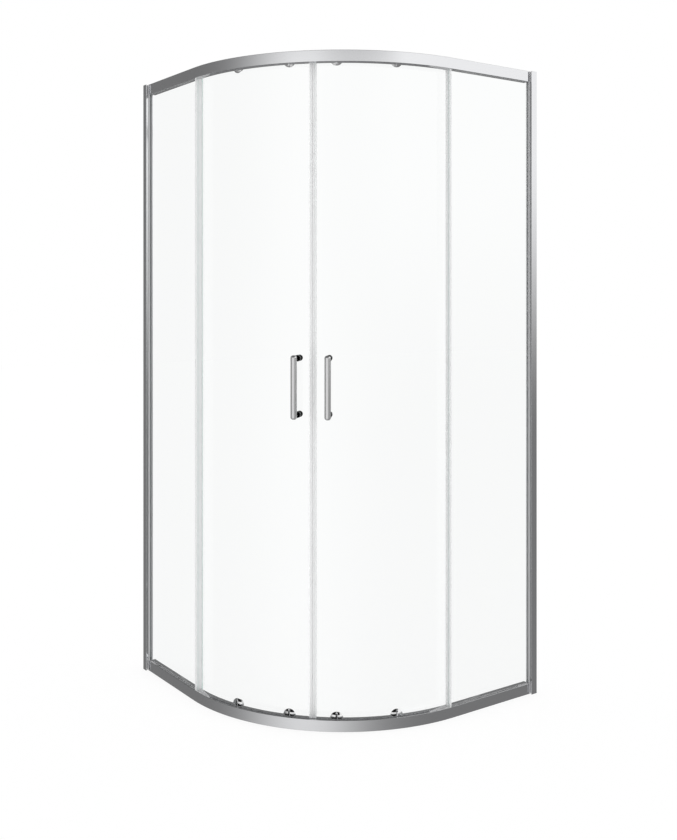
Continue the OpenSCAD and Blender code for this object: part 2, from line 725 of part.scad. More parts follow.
// The spring under a release slide, a plain sleeve at its outer size
module release_spring(phi) {
    color("slategray") at(phi, spring_floor_z) translate([-spring_t, 0, 0]) difference() {
        cylinder(d = spring_d, h = slide_foot_z - spring_floor_z);
        translate([0, 0, -1]) cylinder(d = spring_d - 1.2, h = height);
    }
}

// Round nuts inside the doors
module roller_nuts() {
    nut_gap = 0.15;
    nut_dome = 2;
    nut_r = nut_d / 2;
    dome_r = (nut_r * nut_r + nut_dome * nut_dome) / (2 * nut_dome);
    color("silver") for (phi = [front_phi, rear_phi], z = [bottom_cap_z, top_cap_z])
        radial(phi, z, door_t1 + bush_flange + nut_gap) mirror([0, 0, 1]) difference() {
            intersection() {
                cylinder(r = nut_r, h = nut_h);
                translate([0, 0, nut_h - dome_r]) sphere(dome_r, $fn = 240);
            }
            translate([0, 0, -1]) cylinder(d = stud_d + 0.1, h = stud_grip + 1.2);
        }
}

left() wall_profile();  // wall_profile_left
wall_profile();  // wall_profile_right
left() jamb_profile();  // jamb_profile_left
jamb_profile();  // jamb_profile_right
jamb_screws();
screw_covers();
top_rail();
bottom_rail();
rail_end_blocks();
rail_screws();
left() fixed_glass();  // fixed_glass_left
fixed_glass();  // fixed_glass_right
jamb_gaskets();
rail_gaskets();
slot_fillers();
left() pane_seal();  // pane_seal_left
pane_seal();  // pane_seal_right
door_stops();
left() door_glass();  // door_glass_left
door_glass();  // door_glass_right
left() hook_seal();  // hook_seal_left
hook_seal();  // hook_seal_right
left() magnet_seal();  // magnet_seal_left
magnet_seal();  // magnet_seal_right
left() magnet_strip();  // magnet_strip_left
magnet_strip();  // magnet_strip_right
left() handle();  // handle_left
handle();  // handle_right
left() handle_knobs();  // handle_knobs_left
handle_knobs();  // handle_knobs_right
left() glass_bushes();  // glass_bushes_left
glass_bushes();  // glass_bushes_right
left() top_roller_caps();  // top_roller_caps_left
top_roller_caps();  // top_roller_caps_right
left() top_axles();  // top_axles_left
top_axles();  // top_axles_right
left() roller_nuts();  // roller_nuts_left
roller_nuts();  // roller_nuts_right
left() bottom_roller_caps();  // bottom_roller_caps_left
bottom_roller_caps();  // bottom_roller_caps_right
left() wheel(front_phi, top_cap_z);  // top_wheel_left_front
left() wheel(rear_phi, top_cap_z);  // top_wheel_left_rear
wheel(front_phi, top_cap_z);  // top_wheel_right_front
wheel(rear_phi, top_cap_z);  // top_wheel_right_rear
left() wheel(front_phi, bottom_wheel_z);  // bottom_wheel_left_front
left() wheel(rear_phi, bottom_wheel_z);  // bottom_wheel_left_rear
wheel(front_phi, bottom_wheel_z);  // bottom_wheel_right_front
wheel(rear_phi, bottom_wheel_z);  // bottom_wheel_right_rear
left() release_slide(front_phi);  // release_slide_left_front
left() release_slide(rear_phi);  // release_slide_left_rear
release_slide(front_phi);  // release_slide_right_front
release_slide(rear_phi);  // release_slide_right_rear
left() release_spring(front_phi);  // release_spring_left_front
left() release_spring(rear_phi);  // release_spring_left_rear
release_spring(front_phi);  // release_spring_right_front
release_spring(rear_phi);  // release_spring_right_rear
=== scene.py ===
import bpy
import math
import numpy as np
from mathutils.geometry import tessellate_polygon
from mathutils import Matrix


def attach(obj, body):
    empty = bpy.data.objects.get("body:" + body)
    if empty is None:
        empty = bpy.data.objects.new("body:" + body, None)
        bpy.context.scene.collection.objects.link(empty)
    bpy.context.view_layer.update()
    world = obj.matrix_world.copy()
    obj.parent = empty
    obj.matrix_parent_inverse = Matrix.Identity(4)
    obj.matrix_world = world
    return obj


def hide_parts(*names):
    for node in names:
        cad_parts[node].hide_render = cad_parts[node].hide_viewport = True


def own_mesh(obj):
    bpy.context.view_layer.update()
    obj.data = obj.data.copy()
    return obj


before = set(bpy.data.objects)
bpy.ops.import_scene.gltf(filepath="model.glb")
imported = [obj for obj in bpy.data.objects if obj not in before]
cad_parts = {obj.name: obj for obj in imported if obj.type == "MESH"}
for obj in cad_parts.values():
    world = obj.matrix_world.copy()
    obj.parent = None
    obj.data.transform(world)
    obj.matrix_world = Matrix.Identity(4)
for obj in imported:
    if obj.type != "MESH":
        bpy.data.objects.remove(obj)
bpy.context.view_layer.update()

# The studio: the camera stands in front of the doors, a little to the right, at chest
# height, and sees white walls. Metal and glass mirror a soft white front, a right side
# that is bright above the horizon, and a dim room elsewhere, darkest overhead.
EYE = (2.6933, -1.9176, 1.2119)
EYE_TURN_DEG = 54.55
LENS_MM, SENSOR_MM = 44.87, 36
SHIFT_X, SHIFT_Y = 0.0056, -0.1467
NEAREST, FARTHEST = 0.05, 60
DIM = 0.19
FRONT_AZIMUTH, FRONT_SPREAD, FRONT_LIGHT = -60.0, 38.0, 0.72
FRONT_LEVEL, FRONT_TILT = 1.02, 0.009
RIGHT_AZIMUTHS, RIGHT_FADE, RIGHT_LIGHT = (-48.0, 12.0), (-7.0, 8.0), 0.80
RIGHT_END = (75.0, 120.0)
OVERHEAD, FRONT_OVERHEAD, FRONT_END = (32.0, 52.0), (13.0, 18.0), (-10.0, 8.0)
OVERHEAD_LIGHT = 0.012

scene = bpy.context.scene
scene.view_settings.view_transform = "Standard"
eye = bpy.data.cameras.new("eye")
eye.lens, eye.sensor_width = LENS_MM, SENSOR_MM
eye.shift_x, eye.shift_y = SHIFT_X, SHIFT_Y
eye.clip_start, eye.clip_end = NEAREST, FARTHEST
camera = bpy.data.objects.new("camera", eye)
camera.location = EYE
camera.rotation_euler = (math.radians(90), 0, math.radians(EYE_TURN_DEG))
scene.collection.objects.link(camera)
scene.camera = camera


class Socket:
    """One output socket of a node tree. Python's operators on it add Math nodes."""

    def __init__(self, tree, link=None):
        self.tree, self.link = tree, link

    def node(self, kind, settings=None, inputs=None, output=0):
        """Adds a node of that kind: its settings first, then its sockets' values or links."""
        made = self.tree.nodes.new(kind)
        for name, value in (settings or {}).items():
            setattr(made, name, value)
        for name, value in (inputs or {}).items():
            if isinstance(value, Socket):
                self.tree.links.new(value.link, made.inputs[name])
            else:
                made.inputs[name].default_value = value
        return Socket(self.tree, made.outputs[output] if made.outputs else None)

    def maths(self, operation, *operands):
        return self.node("ShaderNodeMath", {"operation": operation}, dict(enumerate(operands)))

    def __add__(self, other): return self.maths("ADD", self, other)
    def __radd__(self, other): return self.maths("ADD", other, self)
    def __sub__(self, other): return self.maths("SUBTRACT", self, other)
    def __rsub__(self, other): return self.maths("SUBTRACT", other, self)
    def __mul__(self, other): return self.maths("MULTIPLY", self, other)
    def __rmul__(self, other): return self.maths("MULTIPLY", other, self)
    def __truediv__(self, other): return self.maths("DIVIDE", self, other)
    def __pow__(self, other): return self.maths("POWER", self, other)
    def __neg__(self): return self.maths("MULTIPLY", self, -1.0)
    def __abs__(self): return self.maths("ABSOLUTE", self)

    def step(self, low, high):
        """0 below low, 1 above high and a smooth S between them."""
        return self.node("ShaderNodeMapRange", {"interpolation_type": "SMOOTHSTEP"},
                         {"Value": self, "From Min": low, "From Max": high})

    def axes(self):
        """The three numbers of a vector."""
        return [self.node("ShaderNodeSeparateXYZ", None, {0: self}, axis) for axis in range(3)]


# A direction is an azimuth from +X towards +Y and an elevation, both in degrees.
world = bpy.data.worlds.new("studio")
world.use_nodes = True
world.node_tree.nodes.clear()
sky = Socket(world.node_tree)
x, y, z = sky.node("ShaderNodeTexCoord", output="Generated").axes()
azimuth = sky.maths("ARCTAN2", y, x) * (180 / math.pi)
elevation = sky.maths("ARCSINE", z) * (180 / math.pi)
front = sky.maths("EXPONENT", -((azimuth - FRONT_AZIMUTH) / FRONT_SPREAD) ** 2.0)
front = front * (FRONT_LEVEL + FRONT_TILT * elevation)
right = azimuth.step(*RIGHT_AZIMUTHS) * elevation.step(*RIGHT_FADE)
right = right * (1 - azimuth.step(*RIGHT_END))
room = sky.maths("MINIMUM", DIM + FRONT_LIGHT * front + RIGHT_LIGHT * right, 1.0)
front_dark = elevation.step(*FRONT_OVERHEAD) * (1 - azimuth.step(*FRONT_END))
open_sky = (1 - elevation.step(*OVERHEAD)) * (1 - front_dark)
room = OVERHEAD_LIGHT + open_sky * (room - OVERHEAD_LIGHT)
in_metal = (sky.node("ShaderNodeLightPath", output="Is Glossy Ray")
            * (1 - sky.node("ShaderNodeLightPath", output="Is Transmission Ray")))
seen = 1 - in_metal * (1 - room)
shine = sky.node("ShaderNodeBackground", None, {"Color": seen, "Strength": 1.0})
sky.node("ShaderNodeOutputWorld", None, {"Surface": shine})
scene.world = world

# The floor glows plain white, as the photo's ground does, and keeps a faint shadow.
# Below the horizon metal mirrors the same dim room, so the floor lets mirrored rays
# through.
FLOOR_SIZE, FLOOR_DROP = 30.0, 0.0004
FLOOR_GLOW, FLOOR_SHADE = 1.02, 0.15
FLOOR_PAINT = (0.9, 0.9, 0.9, 1)

floor_mesh = bpy.data.meshes.new("floor")
floor_corners = FLOOR_SIZE / 2 * np.array([[-1, -1, 0], [1, -1, 0], [1, 1, 0], [-1, 1, 0]])
floor_mesh.from_pydata(floor_corners - [0, 0, FLOOR_DROP], [], [(0, 1, 2, 3)])
floor = bpy.data.objects.new("floor", floor_mesh)
scene.collection.objects.link(floor)
floor_finish = bpy.data.materials.new("floor_white")
floor_finish.use_nodes = True
floor_finish.node_tree.nodes.clear()
ground = Socket(floor_finish.node_tree)
glow = ground.node("ShaderNodeEmission", None, {"Color": (1, 1, 1, 1), "Strength": FLOOR_GLOW})
shade = ground.node("ShaderNodeBsdfDiffuse", None, {"Color": FLOOR_PAINT})
white = ground.node("ShaderNodeMixShader", None, {0: FLOOR_SHADE, 1: glow, 2: shade})
clear = ground.node("ShaderNodeBsdfTransparent")
mirror_ray = ground.node("ShaderNodeLightPath", output="Is Glossy Ray")
ground.node("ShaderNodeOutputMaterial", None, {"Surface": ground.node(
    "ShaderNodeMixShader", None, {0: mirror_ray, 1: white, 2: clear})})
floor_mesh.materials.append(floor_finish)

# The wall profiles: bright aluminium U channels, cut from one extrusion, drilled and
# screwed to the tiles. Their cut edges are broken, and fine lines from the extrusion
# die run along them.
MM = 0.001
WALL_EDGE = 0.4
ALUMINIUM = (0.83, 0.835, 0.85, 1)
DIE_LINES, DIE_DEPTH, DRAWN_OUT = 1400.0, 0.000008, 0.002
POLISH, LINE_ROUGH, HAZE_ROUGH, HAZE_SCALE, HAZE_DETAIL = 0.085, 0.045, 0.04, 7.0, 4.0
EASE_STEPS, EASE_ANGLE_DEG = 2, 40
WELD_DIGITS = 5


class Finish(Socket):
    """A material's tree, with what its surfaces read."""

    def __init__(self, name):
        self.material = bpy.data.materials.new(name)
        self.material.use_nodes = True
        self.material.node_tree.nodes.clear()
        super().__init__(self.material.node_tree)
        self.place = self.node("ShaderNodeTexCoord", output="Object")

    def noise(self, scale, stretch=(1, 1, 1), detail=2.0, where=None):
        """Noise of that scale, drawn out along an axis where stretch is small."""
        vector = self.node("ShaderNodeMapping", None,
                           {"Vector": where or self.place, "Scale": stretch})
        return self.node("ShaderNodeTexNoise", None,
                         {"Vector": vector, "Scale": scale, "Detail": detail})

    def extrusion(self):
        """The piece's own UV map: U round its section and V along it."""
        return self.node("ShaderNodeUVMap", {"uv_map": "extrusion"})

    def bump(self, height, depth):
        return self.node("ShaderNodeBump", None, {"Height": height, "Distance": depth})

    def close(self, shader):
        self.node("ShaderNodeOutputMaterial", None, {"Surface": shader})
        return self.material

    def principled(self, base, rough, metal=0.0, **others):
        """Ends the tree in a Principled shader."""
        sockets = {"Base Color": base, "Roughness": rough, "Metallic": metal, **others}
        return self.close(self.node("ShaderNodeBsdfPrincipled", None, sockets))


def extruded(name, along_uv, metallic=lambda metal: 1.0):
    """Bright aluminium with die lines, along the object's Z or along its UV map's V."""
    metal = Finish(name)
    where, stretch = metal.place, (1, 1, DRAWN_OUT)
    if along_uv:
        where, stretch = metal.extrusion(), (1, DRAWN_OUT, 1)
    lines = metal.noise(DIE_LINES, stretch, where=where)
    haze = metal.noise(HAZE_SCALE, detail=HAZE_DETAIL)
    rough = POLISH + LINE_ROUGH * lines + HAZE_ROUGH * haze
    grain = metal.bump(lines, DIE_DEPTH)
    return metal.principled(ALUMINIUM, rough, metallic(metal), Normal=grain)


def weld(corners, normals=None, uvs=None):
    """A mesh from faces of four corners each (faces, 4, 3), in millimetres: corners that
    agree to WELD_DIGITS decimals become one vertex, and one that equals the next is
    dropped."""
    rounded = np.round(corners.reshape(-1, 3), WELD_DIGITS) + 0.0
    spots, index = np.unique(rounded, axis=0, return_inverse=True)
    index = index.reshape(-1, 4)
    fresh = index != np.roll(index, -1, axis=1)
    whole, three = fresh.all(1), fresh.sum(1) == 3
    faces = index[whole].tolist() + index[three][fresh[three]].reshape(-1, 3).tolist()
    mesh = bpy.data.meshes.new("part")
    mesh.from_pydata(spots * MM, [], faces)
    mesh.polygons.foreach_set("use_smooth", np.ones(len(faces), bool))

    def gather(values):
        four = values[whole].reshape(-1, values.shape[2])
        return np.concatenate([four, values[three][fresh[three]]])

    if uvs is not None:
        mesh.uv_layers.new(name="extrusion").uv.foreach_set("vector", gather(uvs).ravel())
    if normals is not None:
        mesh.normals_split_custom_set(gather(normals).tolist())
    return mesh


def fit(name, mesh, finish, body, slot, *nodes):
    """Puts a mesh into the scene as a piece of that body, in place of those CAD nodes."""
    mesh.name = name
    mesh.materials.append(finish)
    made = bpy.data.objects.new(name, mesh)
    scene.collection.objects.link(made)
    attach(made, body)
    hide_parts(*nodes)
    return made


def eased(name, node, edge, finish, body, slot):
    """A copy of a CAD node with its loose triangles merged and its sharp edges rounded."""
    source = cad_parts[node].data
    source.calc_loop_triangles()
    spots = np.empty(len(source.vertices) * 3)
    source.vertices.foreach_get("co", spots)
    sides = np.empty(len(source.loop_triangles) * 3, int)
    source.loop_triangles.foreach_get("vertices", sides)
    corners = spots.reshape(-1, 3)[sides.reshape(-1, 3)][:, [0, 1, 2, 2]] / MM
    made = fit(name, weld(corners), finish, body, slot, node)
    rounding = made.modifiers.new("edges", "BEVEL")
    rounding.width, rounding.segments = edge * MM, EASE_STEPS
    rounding.limit_method, rounding.angle_limit = "ANGLE", math.radians(EASE_ANGLE_DEG)
    rounding.use_clamp_overlap = False
    rounding.harden_normals = True
    return made


UPRIGHT = extruded("bright_aluminium_upright", along_uv=False)
for side in ("left", "right"):
    eased(f"wall_channel_{side}", f"wall_profile_{side}", WALL_EDGE, UPRIGHT, "frame", "aluminium")

# The jamb profiles: the same bright aluminium. Each slides in its wall profile to take
# up a wall that leans, and holds a fixed pane in its slot.
JAMB_EDGE = 0.3

for side in ("left", "right"):
    eased(f"jamb_{side}", f"jamb_profile_{side}", JAMB_EDGE, UPRIGHT, "frame", "aluminium")

# The jamb screws and their covers: stainless pan heads with a cross recess go through
# the wall profile's inner side, and a moulded cap snaps over each head.
CORNER_R, FACE, HALF = 550.0, 437.0, 445.0
CENTRE = FACE - CORNER_R
STRAIGHT = HALF + CENTRE
UP = np.array([0.0, 0.0, 1.0])
JAMB_SCREW_HEIGHTS, JAMB_SCREW_S = (250.0, 950.0, 1650.0), 8.3
PROFILE_BACK = 15.5
HEAD_R, HEAD_H, HEAD_SIDE = 3.6, 2.2, 0.6
CROSS_HALF, CROSS_REACH, CROSS_FADE, CROSS_DEPTH = 0.45, 1.9, (0.3, 0.4), 1.1
SHANK_R, SHANK_START, SHANK_LENGTH, POINT_R, POINT_LENGTH = 1.9, -0.2, 6.3, 0.9, 1.1
COVER_R, COVER_H, COVER_TOP, COVER_CLEAR = 5.5, 3.3, 0.9, 0.15
HEAD_RINGS, HEAD_SPOKES, SCREW_SIDES = 18, 64, 32
APART, TINY = 1e-4, 1e-9


def unit(vectors):
    return vectors / np.linalg.norm(vectors, axis=-1, keepdims=True)


def stand(phi, depth=0.0, along=0.0, height=0.0):
    """A frame of reference in the right-hand half: a spot at the angle phi round the
    corner, at a depth behind the rails' face, a distance along the rail and a height,
    with the directions inwards and along the rail."""
    given = (np.asarray(value, float) for value in (phi, depth, along, height))
    phi, depth, along, height = np.broadcast_arrays(*given)
    angle = np.radians(phi)
    outward = np.stack([np.sin(angle), -np.cos(angle), 0 * angle], -1)
    ahead = np.stack([np.cos(angle), np.sin(angle), 0 * angle], -1)
    spot = (np.array([CENTRE, -CENTRE, 0]) + (CORNER_R - depth)[..., None] * outward
            + along[..., None] * ahead + height[..., None] * UP)
    return spot, -outward, ahead


def outline(corners, hole=False, steps=4):
    """A closed section from its corners (a, b, radius): each corner is an arc tangent to
    both its sides, so every point has the surface's own normal."""
    spots = np.array([corner[:2] for corner in corners], float)
    radii = np.array([corner[2] if len(corner) > 2 else 0.0 for corner in corners])
    area = np.sum(spots[:, 0] * np.roll(spots[:, 1], -1) - spots[:, 1] * np.roll(spots[:, 0], -1))
    if (area < 0) != hole:
        spots, radii = spots[::-1], radii[::-1]
    before = unit(spots - np.roll(spots, 1, axis=0))
    after = np.roll(before, -1, axis=0)
    cross = before[:, 0] * after[:, 1] - before[:, 1] * after[:, 0]
    turn = np.arctan2(cross, (before * after).sum(1))
    normal = np.stack([before[:, 1], -before[:, 0]], 1)
    start = spots - before * (radii * np.tan(np.abs(turn) / 2))[:, None]
    side = (np.sign(turn) * radii)[:, None]
    middle = start - side * normal
    swing = turn[:, None] * np.linspace(0, 1, steps + 1)
    cos, sin = np.cos(swing), np.sin(swing)
    a, b = normal[:, :1], normal[:, 1:]
    normals = np.stack([cos * a - sin * b, sin * a + cos * b], 2)
    points = middle[:, None] + side[:, None] * normals
    return points.reshape(-1, 2), normals.reshape(-1, 2)


def circle(radius, count):
    """A round section."""
    angle = np.linspace(0, 2 * np.pi, count, endpoint=False)
    normals = np.stack([np.cos(angle), np.sin(angle)], 1)
    return radius * normals, normals


def grid(spots, normals, uvs=None):
    """The faces between neighbours on a grid of points (rows, columns, 3)."""
    uvs = np.zeros(spots.shape[:2] + (2,)) if uvs is None else uvs

    def faces(values):
        around = [values[:-1, :-1], values[:-1, 1:], values[1:, 1:], values[1:, :-1]]
        return np.stack(around, 2).reshape(-1, 4, values.shape[2])

    return faces(spots), faces(normals), faces(uvs)


def carry(outlines, origins, firsts, seconds, closed=False):
    """Carries a section along a path: a point (a, b) lands on origin + a * first + b *
    second at each station. The ends are filled flat, with the section's holes left open."""
    travel = np.r_[0, np.cumsum(np.linalg.norm(np.diff(origins, axis=0), axis=1))]
    patches, rows, rims = [], [], []
    for points, normals in outlines:
        loop, facing = (np.vstack([a, a[:1]])[None] for a in (points, normals))
        a, b = loop[..., :1], loop[..., 1:]
        spots = origins[:, None] + a * firsts[:, None] + b * seconds[:, None]
        a, b = facing[..., :1], facing[..., 1:]
        facing = a * firsts[:, None] + b * seconds[:, None]
        girth = np.r_[0, np.cumsum(np.linalg.norm(np.diff(loop[0], axis=0), axis=1))]
        uvs = np.stack(np.broadcast_arrays(girth[None], travel[:, None]), -1) * MM
        patches.append(grid(spots, facing, uvs))
        distinct = np.linalg.norm(points - np.roll(points, 1, axis=0), axis=1) > APART
        rows.append(spots[:, :-1][:, distinct])
        rims.append([(a, b, 0) for a, b in points[distinct]])
    if not closed:
        fill = np.array(tessellate_polygon(rims))[:, [0, 1, 2, 2]]
        for end, inner in ((0, 1), (-1, -2)):
            corners = np.concatenate([row[end] for row in rows])[fill]
            away = np.broadcast_to(unit(origins[end] - origins[inner]), corners.shape)
            patches.append((corners, away, corners[..., :2] * MM))
    return patches


def turned(section, centre, axis, first, second, count=64):
    """A section (radius, distance along the axis) turned round the axis."""
    angle = np.linspace(0, 2 * np.pi, count + 1)[:, None]
    angle[-1] = 0
    spokes = np.cos(angle) * first + np.sin(angle) * second
    centres, axes = (np.tile(vector, (count + 1, 1)) for vector in (centre, axis))
    return carry(section, centres, spokes, axes, closed=True)


def relief(spots, facing):
    """A grid's faces with normals worked out from the neighbours, on the facing side."""
    down, across = np.gradient(spots, axis=(0, 1))
    normals = np.cross(down, across)
    size = np.linalg.norm(normals, axis=-1, keepdims=True)
    normals = np.where(size > TINY, normals / np.maximum(size, TINY), facing)
    return grid(spots, np.where((normals * facing).sum(-1, keepdims=True) < 0, -normals, normals))


def cross_head(centre, axis, first, second):
    """A pan head whose height is a low dome less the depth of a cross: the cross is
    where the smaller of |a|, |b| is under CROSS_HALF and the larger under CROSS_REACH,
    and it fades out over the two lengths of CROSS_FADE."""
    reach = np.linspace(0, 1, HEAD_RINGS + 1)[:, None] * HEAD_R
    angle = np.linspace(0, 2 * np.pi, HEAD_SPOKES + 1)[None]
    cos, sin = np.cos(angle), np.sin(angle)
    a, b = reach * cos, reach * sin
    near, far = np.minimum(abs(a), abs(b)), np.maximum(abs(a), abs(b))
    cross = (np.clip((CROSS_HALF + CROSS_FADE[0] - near) / CROSS_FADE[0], 0, 1)
             * np.clip((CROSS_REACH + CROSS_FADE[1] - far) / CROSS_FADE[1], 0, 1))
    round_top = HEAD_SIDE + (1 - HEAD_SIDE) * np.sqrt(1 - (reach / HEAD_R) ** 2)
    rise = HEAD_H * round_top - CROSS_DEPTH * cross
    top = centre + a[..., None] * first + b[..., None] * second + rise[..., None] * axis
    side = np.stack([top[-1], top[-1] - HEAD_H * HEAD_SIDE * axis])
    spokes = cos[0, :, None] * first + sin[0, :, None] * second
    return [relief(top, np.broadcast_to(axis, top.shape)),
            grid(side, np.broadcast_to(spokes, side.shape))]


def mirrored(patch):
    """The same faces on the left-hand side, across the enclosure's diagonal."""
    corners, normals, uvs = patch
    swap = np.array([-1, -1, 1])
    return corners[..., [1, 0, 2]] * swap, normals[..., [1, 0, 2]] * swap, uvs


def kept(patch):
    return patch


def both(patches):
    """The patches on the left-hand and the right-hand side."""
    return [flip(patch) for flip in SIDES.values() for patch in patches]


def assemble(patches, flip=kept):
    """One mesh from patches of faces, each face turned to its normals' side. flip puts
    them on a side."""
    corners, normals, uvs = (np.concatenate(group) for group in zip(*map(flip, patches)))
    across = np.cross(corners[:, 2] - corners[:, 0], corners[:, 3] - corners[:, 1])
    wrong = (across * normals.mean(1)).sum(1) < 0
    for values in (corners, normals, uvs):
        values[wrong] = values[wrong][:, ::-1]
    return weld(corners, normals, uvs)


def shank(length, point_r, point_length):
    """A screw's shank, from inside its head to its blunt point."""
    return outline([(0, SHANK_START), (SHANK_R, SHANK_START), (SHANK_R, length - point_length),
                    (point_r, length), (0, length)])


def even(name, base, rough, drift, patch, metal=0.0, detail=2.0, grain=None, **others):
    """An even material: its roughness rises by up to drift over patches of noise, and
    grain gives a fine bump's scale and its depth in metres."""
    look = Finish(name)
    rough = rough + drift * look.noise(patch, detail=detail)
    if grain:
        others["Normal"] = look.bump(look.noise(grain[0]), grain[1])
    return look.principled(base, rough, metal, **others)


SIDES = {"left": mirrored, "right": kept}
STEEL = even("stainless_steel", (0.62, 0.62, 0.63, 1), rough=0.2, drift=0.12, patch=900.0,
             metal=1.0)
MOULDING = even("grey_moulding", (0.66, 0.66, 0.67, 1), rough=0.34, drift=0.1, patch=120.0,
                grain=(2500.0, 0.00002))

screw_patches, cover_patches = [], []
short_shank = shank(SHANK_LENGTH, POINT_R, POINT_LENGTH)
inner_r = HEAD_R + COVER_CLEAR
cap = outline([(0, COVER_H), (0, COVER_H - COVER_TOP), (inner_r, COVER_H - COVER_TOP, 0.4),
               (inner_r, 0), (COVER_R, 0, 0.2), (COVER_R, COVER_H, 1.6)])
for height in JAMB_SCREW_HEIGHTS:
    spot, inward, ahead = stand(90, PROFILE_BACK, STRAIGHT - JAMB_SCREW_S, height)
    screw = cross_head(spot, inward, ahead, UP)
    screw += turned([short_shank], spot, -inward, ahead, UP, SCREW_SIDES)
    screw_patches += both(screw)
    cover_patches += both(turned([cap], spot, inward, ahead, UP))
fit("jamb_screws_cross", assemble(screw_patches), STEEL, "frame", "screw", "jamb_screws")
fit("screw_caps", assemble(cover_patches), MOULDING, "frame", "cover", "screw_covers")

# The two rails: each one length of bright aluminium, extruded, then bent round a
# former. The pane's slot faces the other rail, and the wheels' track is behind it.
RAIL_END = 23.5
TOP, HIGH_FACE, LOW_FACE = 1900.0, 1868.0, 32.0
EDGE, NOOK, FACE_EDGE = 0.5, 0.25, 0.9
SKIN, FACE_BACK = 1.4, 3.8
SLOT_FRONT, SLOT_BACK, SLOT_DEPTH = 5.0, 12.0, 13.0
WEB, LIP, BACK = 13.4, 22.8, 24.0
TRACK_FLOOR, TRACK_LIP, FLANGE, FLANGE_LIP = 3.2, 7.7, 2.5, 8.0
BEND_STEPS = 120


def oblong(front, back, low, high, radius, hole=False):
    """A rectangle's section with one radius at its corners."""
    return outline([(front, low, radius), (back, low, radius), (back, high, radius),
                    (front, high, radius)], hole=hole)


slot_roof, slot_floor = HIGH_FACE + SLOT_DEPTH, LOW_FACE - SLOT_DEPTH
track_floor, track_lip = HIGH_FACE + TRACK_FLOOR, HIGH_FACE + TRACK_LIP
flange, flange_lip = LOW_FACE - FLANGE, LOW_FACE - FLANGE_LIP
top_section = [
    outline([(0, HIGH_FACE, FACE_EDGE), (SLOT_FRONT, HIGH_FACE, EDGE),
             (SLOT_FRONT, slot_roof, NOOK), (SLOT_BACK, slot_roof, NOOK),
             (SLOT_BACK, HIGH_FACE, EDGE), (BACK, HIGH_FACE, EDGE), (BACK, track_lip, EDGE),
             (LIP, track_lip, EDGE), (LIP, track_floor, NOOK), (WEB, track_floor, NOOK),
             (WEB, TOP, EDGE), (0, TOP, FACE_EDGE)]),
    oblong(SKIN, FACE_BACK, HIGH_FACE + SKIN, TOP - SKIN, NOOK, hole=True),
    oblong(SLOT_FRONT, SLOT_BACK, slot_roof + SKIN, TOP - SKIN, NOOK, hole=True),
]
bottom_section = [
    outline([(0, 0, FACE_EDGE), (WEB, 0, EDGE), (WEB, flange, NOOK), (LIP, flange, NOOK),
             (LIP, flange_lip, EDGE), (BACK, flange_lip, EDGE), (BACK, LOW_FACE, EDGE),
             (SLOT_BACK, LOW_FACE, EDGE), (SLOT_BACK, slot_floor, NOOK),
             (SLOT_FRONT, slot_floor, NOOK), (SLOT_FRONT, LOW_FACE, EDGE),
             (0, LOW_FACE, FACE_EDGE)]),
    oblong(SKIN, FACE_BACK, SKIN, LOW_FACE - SKIN, NOOK, hole=True),
    oblong(SLOT_FRONT, SLOT_BACK, SKIN, slot_floor - SKIN, NOOK, hole=True),
]
bend = np.linspace(0, 90, BEND_STEPS + 1)
reach = STRAIGHT - RAIL_END
path, inwards, _ = stand(np.r_[0, bend, 90], along=np.r_[-reach, 0 * bend, reach])
ups = np.tile(UP, (len(path), 1))
SLOT_INNER, SLOT_OUTER, SLOT_DULL_SHADE_LIFT = (537.6, 537.9), (545.1, 545.4), 0.16


def dull_slots_lifting_shade(metal):
    """The slots' walls are less metallic: a duller finish, which is also painted light that lifts
    the shade in the slots. Round the bend their walls lie between these two distances from the
    corner's centre."""
    a, b, _ = metal.place.axes()
    a, b = a / MM - CENTRE, b / MM + CENTRE
    radius = metal.maths("SQRT", a * a + b * b)
    return 1 - SLOT_DULL_SHADE_LIFT * radius.step(*SLOT_INNER) * (1 - radius.step(*SLOT_OUTER))


# The bent rails are less metallic inside their slots: partly a dull finish, partly painted light
# that lifts the slots' shade.
BENT = extruded("bright_aluminium_bent", along_uv=True, metallic=dull_slots_lifting_shade)
for name, section, node in (("head_rail", top_section, "top_rail"),
                            ("sill_rail", bottom_section, "bottom_rail")):
    fit(name, assemble(carry(section, path, inwards, ups)), BENT, "frame", "aluminium", node)

# The end blocks and rail screws: a moulded block closes each rail's end and takes the
# screw that comes through the jamb profile.
RAIL_SCREW_HEIGHTS, RAIL_SCREW_S, RAIL_SCREW_T = (9.5, 1890.5), 12.6, 8.5
RAIL_SCREW_LENGTH, RAIL_SCREW_POINT_R, RAIL_SCREW_POINT = 22.9, 0.7, 2.0
BLOCK_EDGE = 0.3

eased("end_blocks", "rail_end_blocks", BLOCK_EDGE, MOULDING, "frame", "block")
rail_screw_patches = []
long_shank = shank(RAIL_SCREW_LENGTH, RAIL_SCREW_POINT_R, RAIL_SCREW_POINT)
for height in RAIL_SCREW_HEIGHTS:
    spot, inward, ahead = stand(90, RAIL_SCREW_T, STRAIGHT - RAIL_SCREW_S, height)
    screw = cross_head(spot, ahead, inward, UP)
    screw += turned([long_shank], spot, -ahead, inward, UP, SCREW_SIDES)
    rail_screw_patches += both(screw)
fit("rail_screws_cross", assemble(rail_screw_patches), STEEL, "frame", "screw", "rail_screws")

# The fixed panes: clear toughened glass, 5 mm thick, held by the jamb profiles and by
# both rails. Its ground edges look pale green.
GLASS_IOR, MIRROR_GAIN, MIRROR_LIMIT = 1.5, 1.5, 0.055
GLASS_TINT = (0.992, 0.996, 0.995, 1)
EDGE_TINT, EDGE_BODY, EDGE_COVER = (0.72, 0.86, 0.82, 1), (0.62, 0.76, 0.73, 1), 0.55
EDGE_FACING = (0.7, 0.9)


def dress(node, finish):
    """Gives a CAD node its material."""
    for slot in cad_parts[node].material_slots:
        slot.link, slot.material = "OBJECT", finish


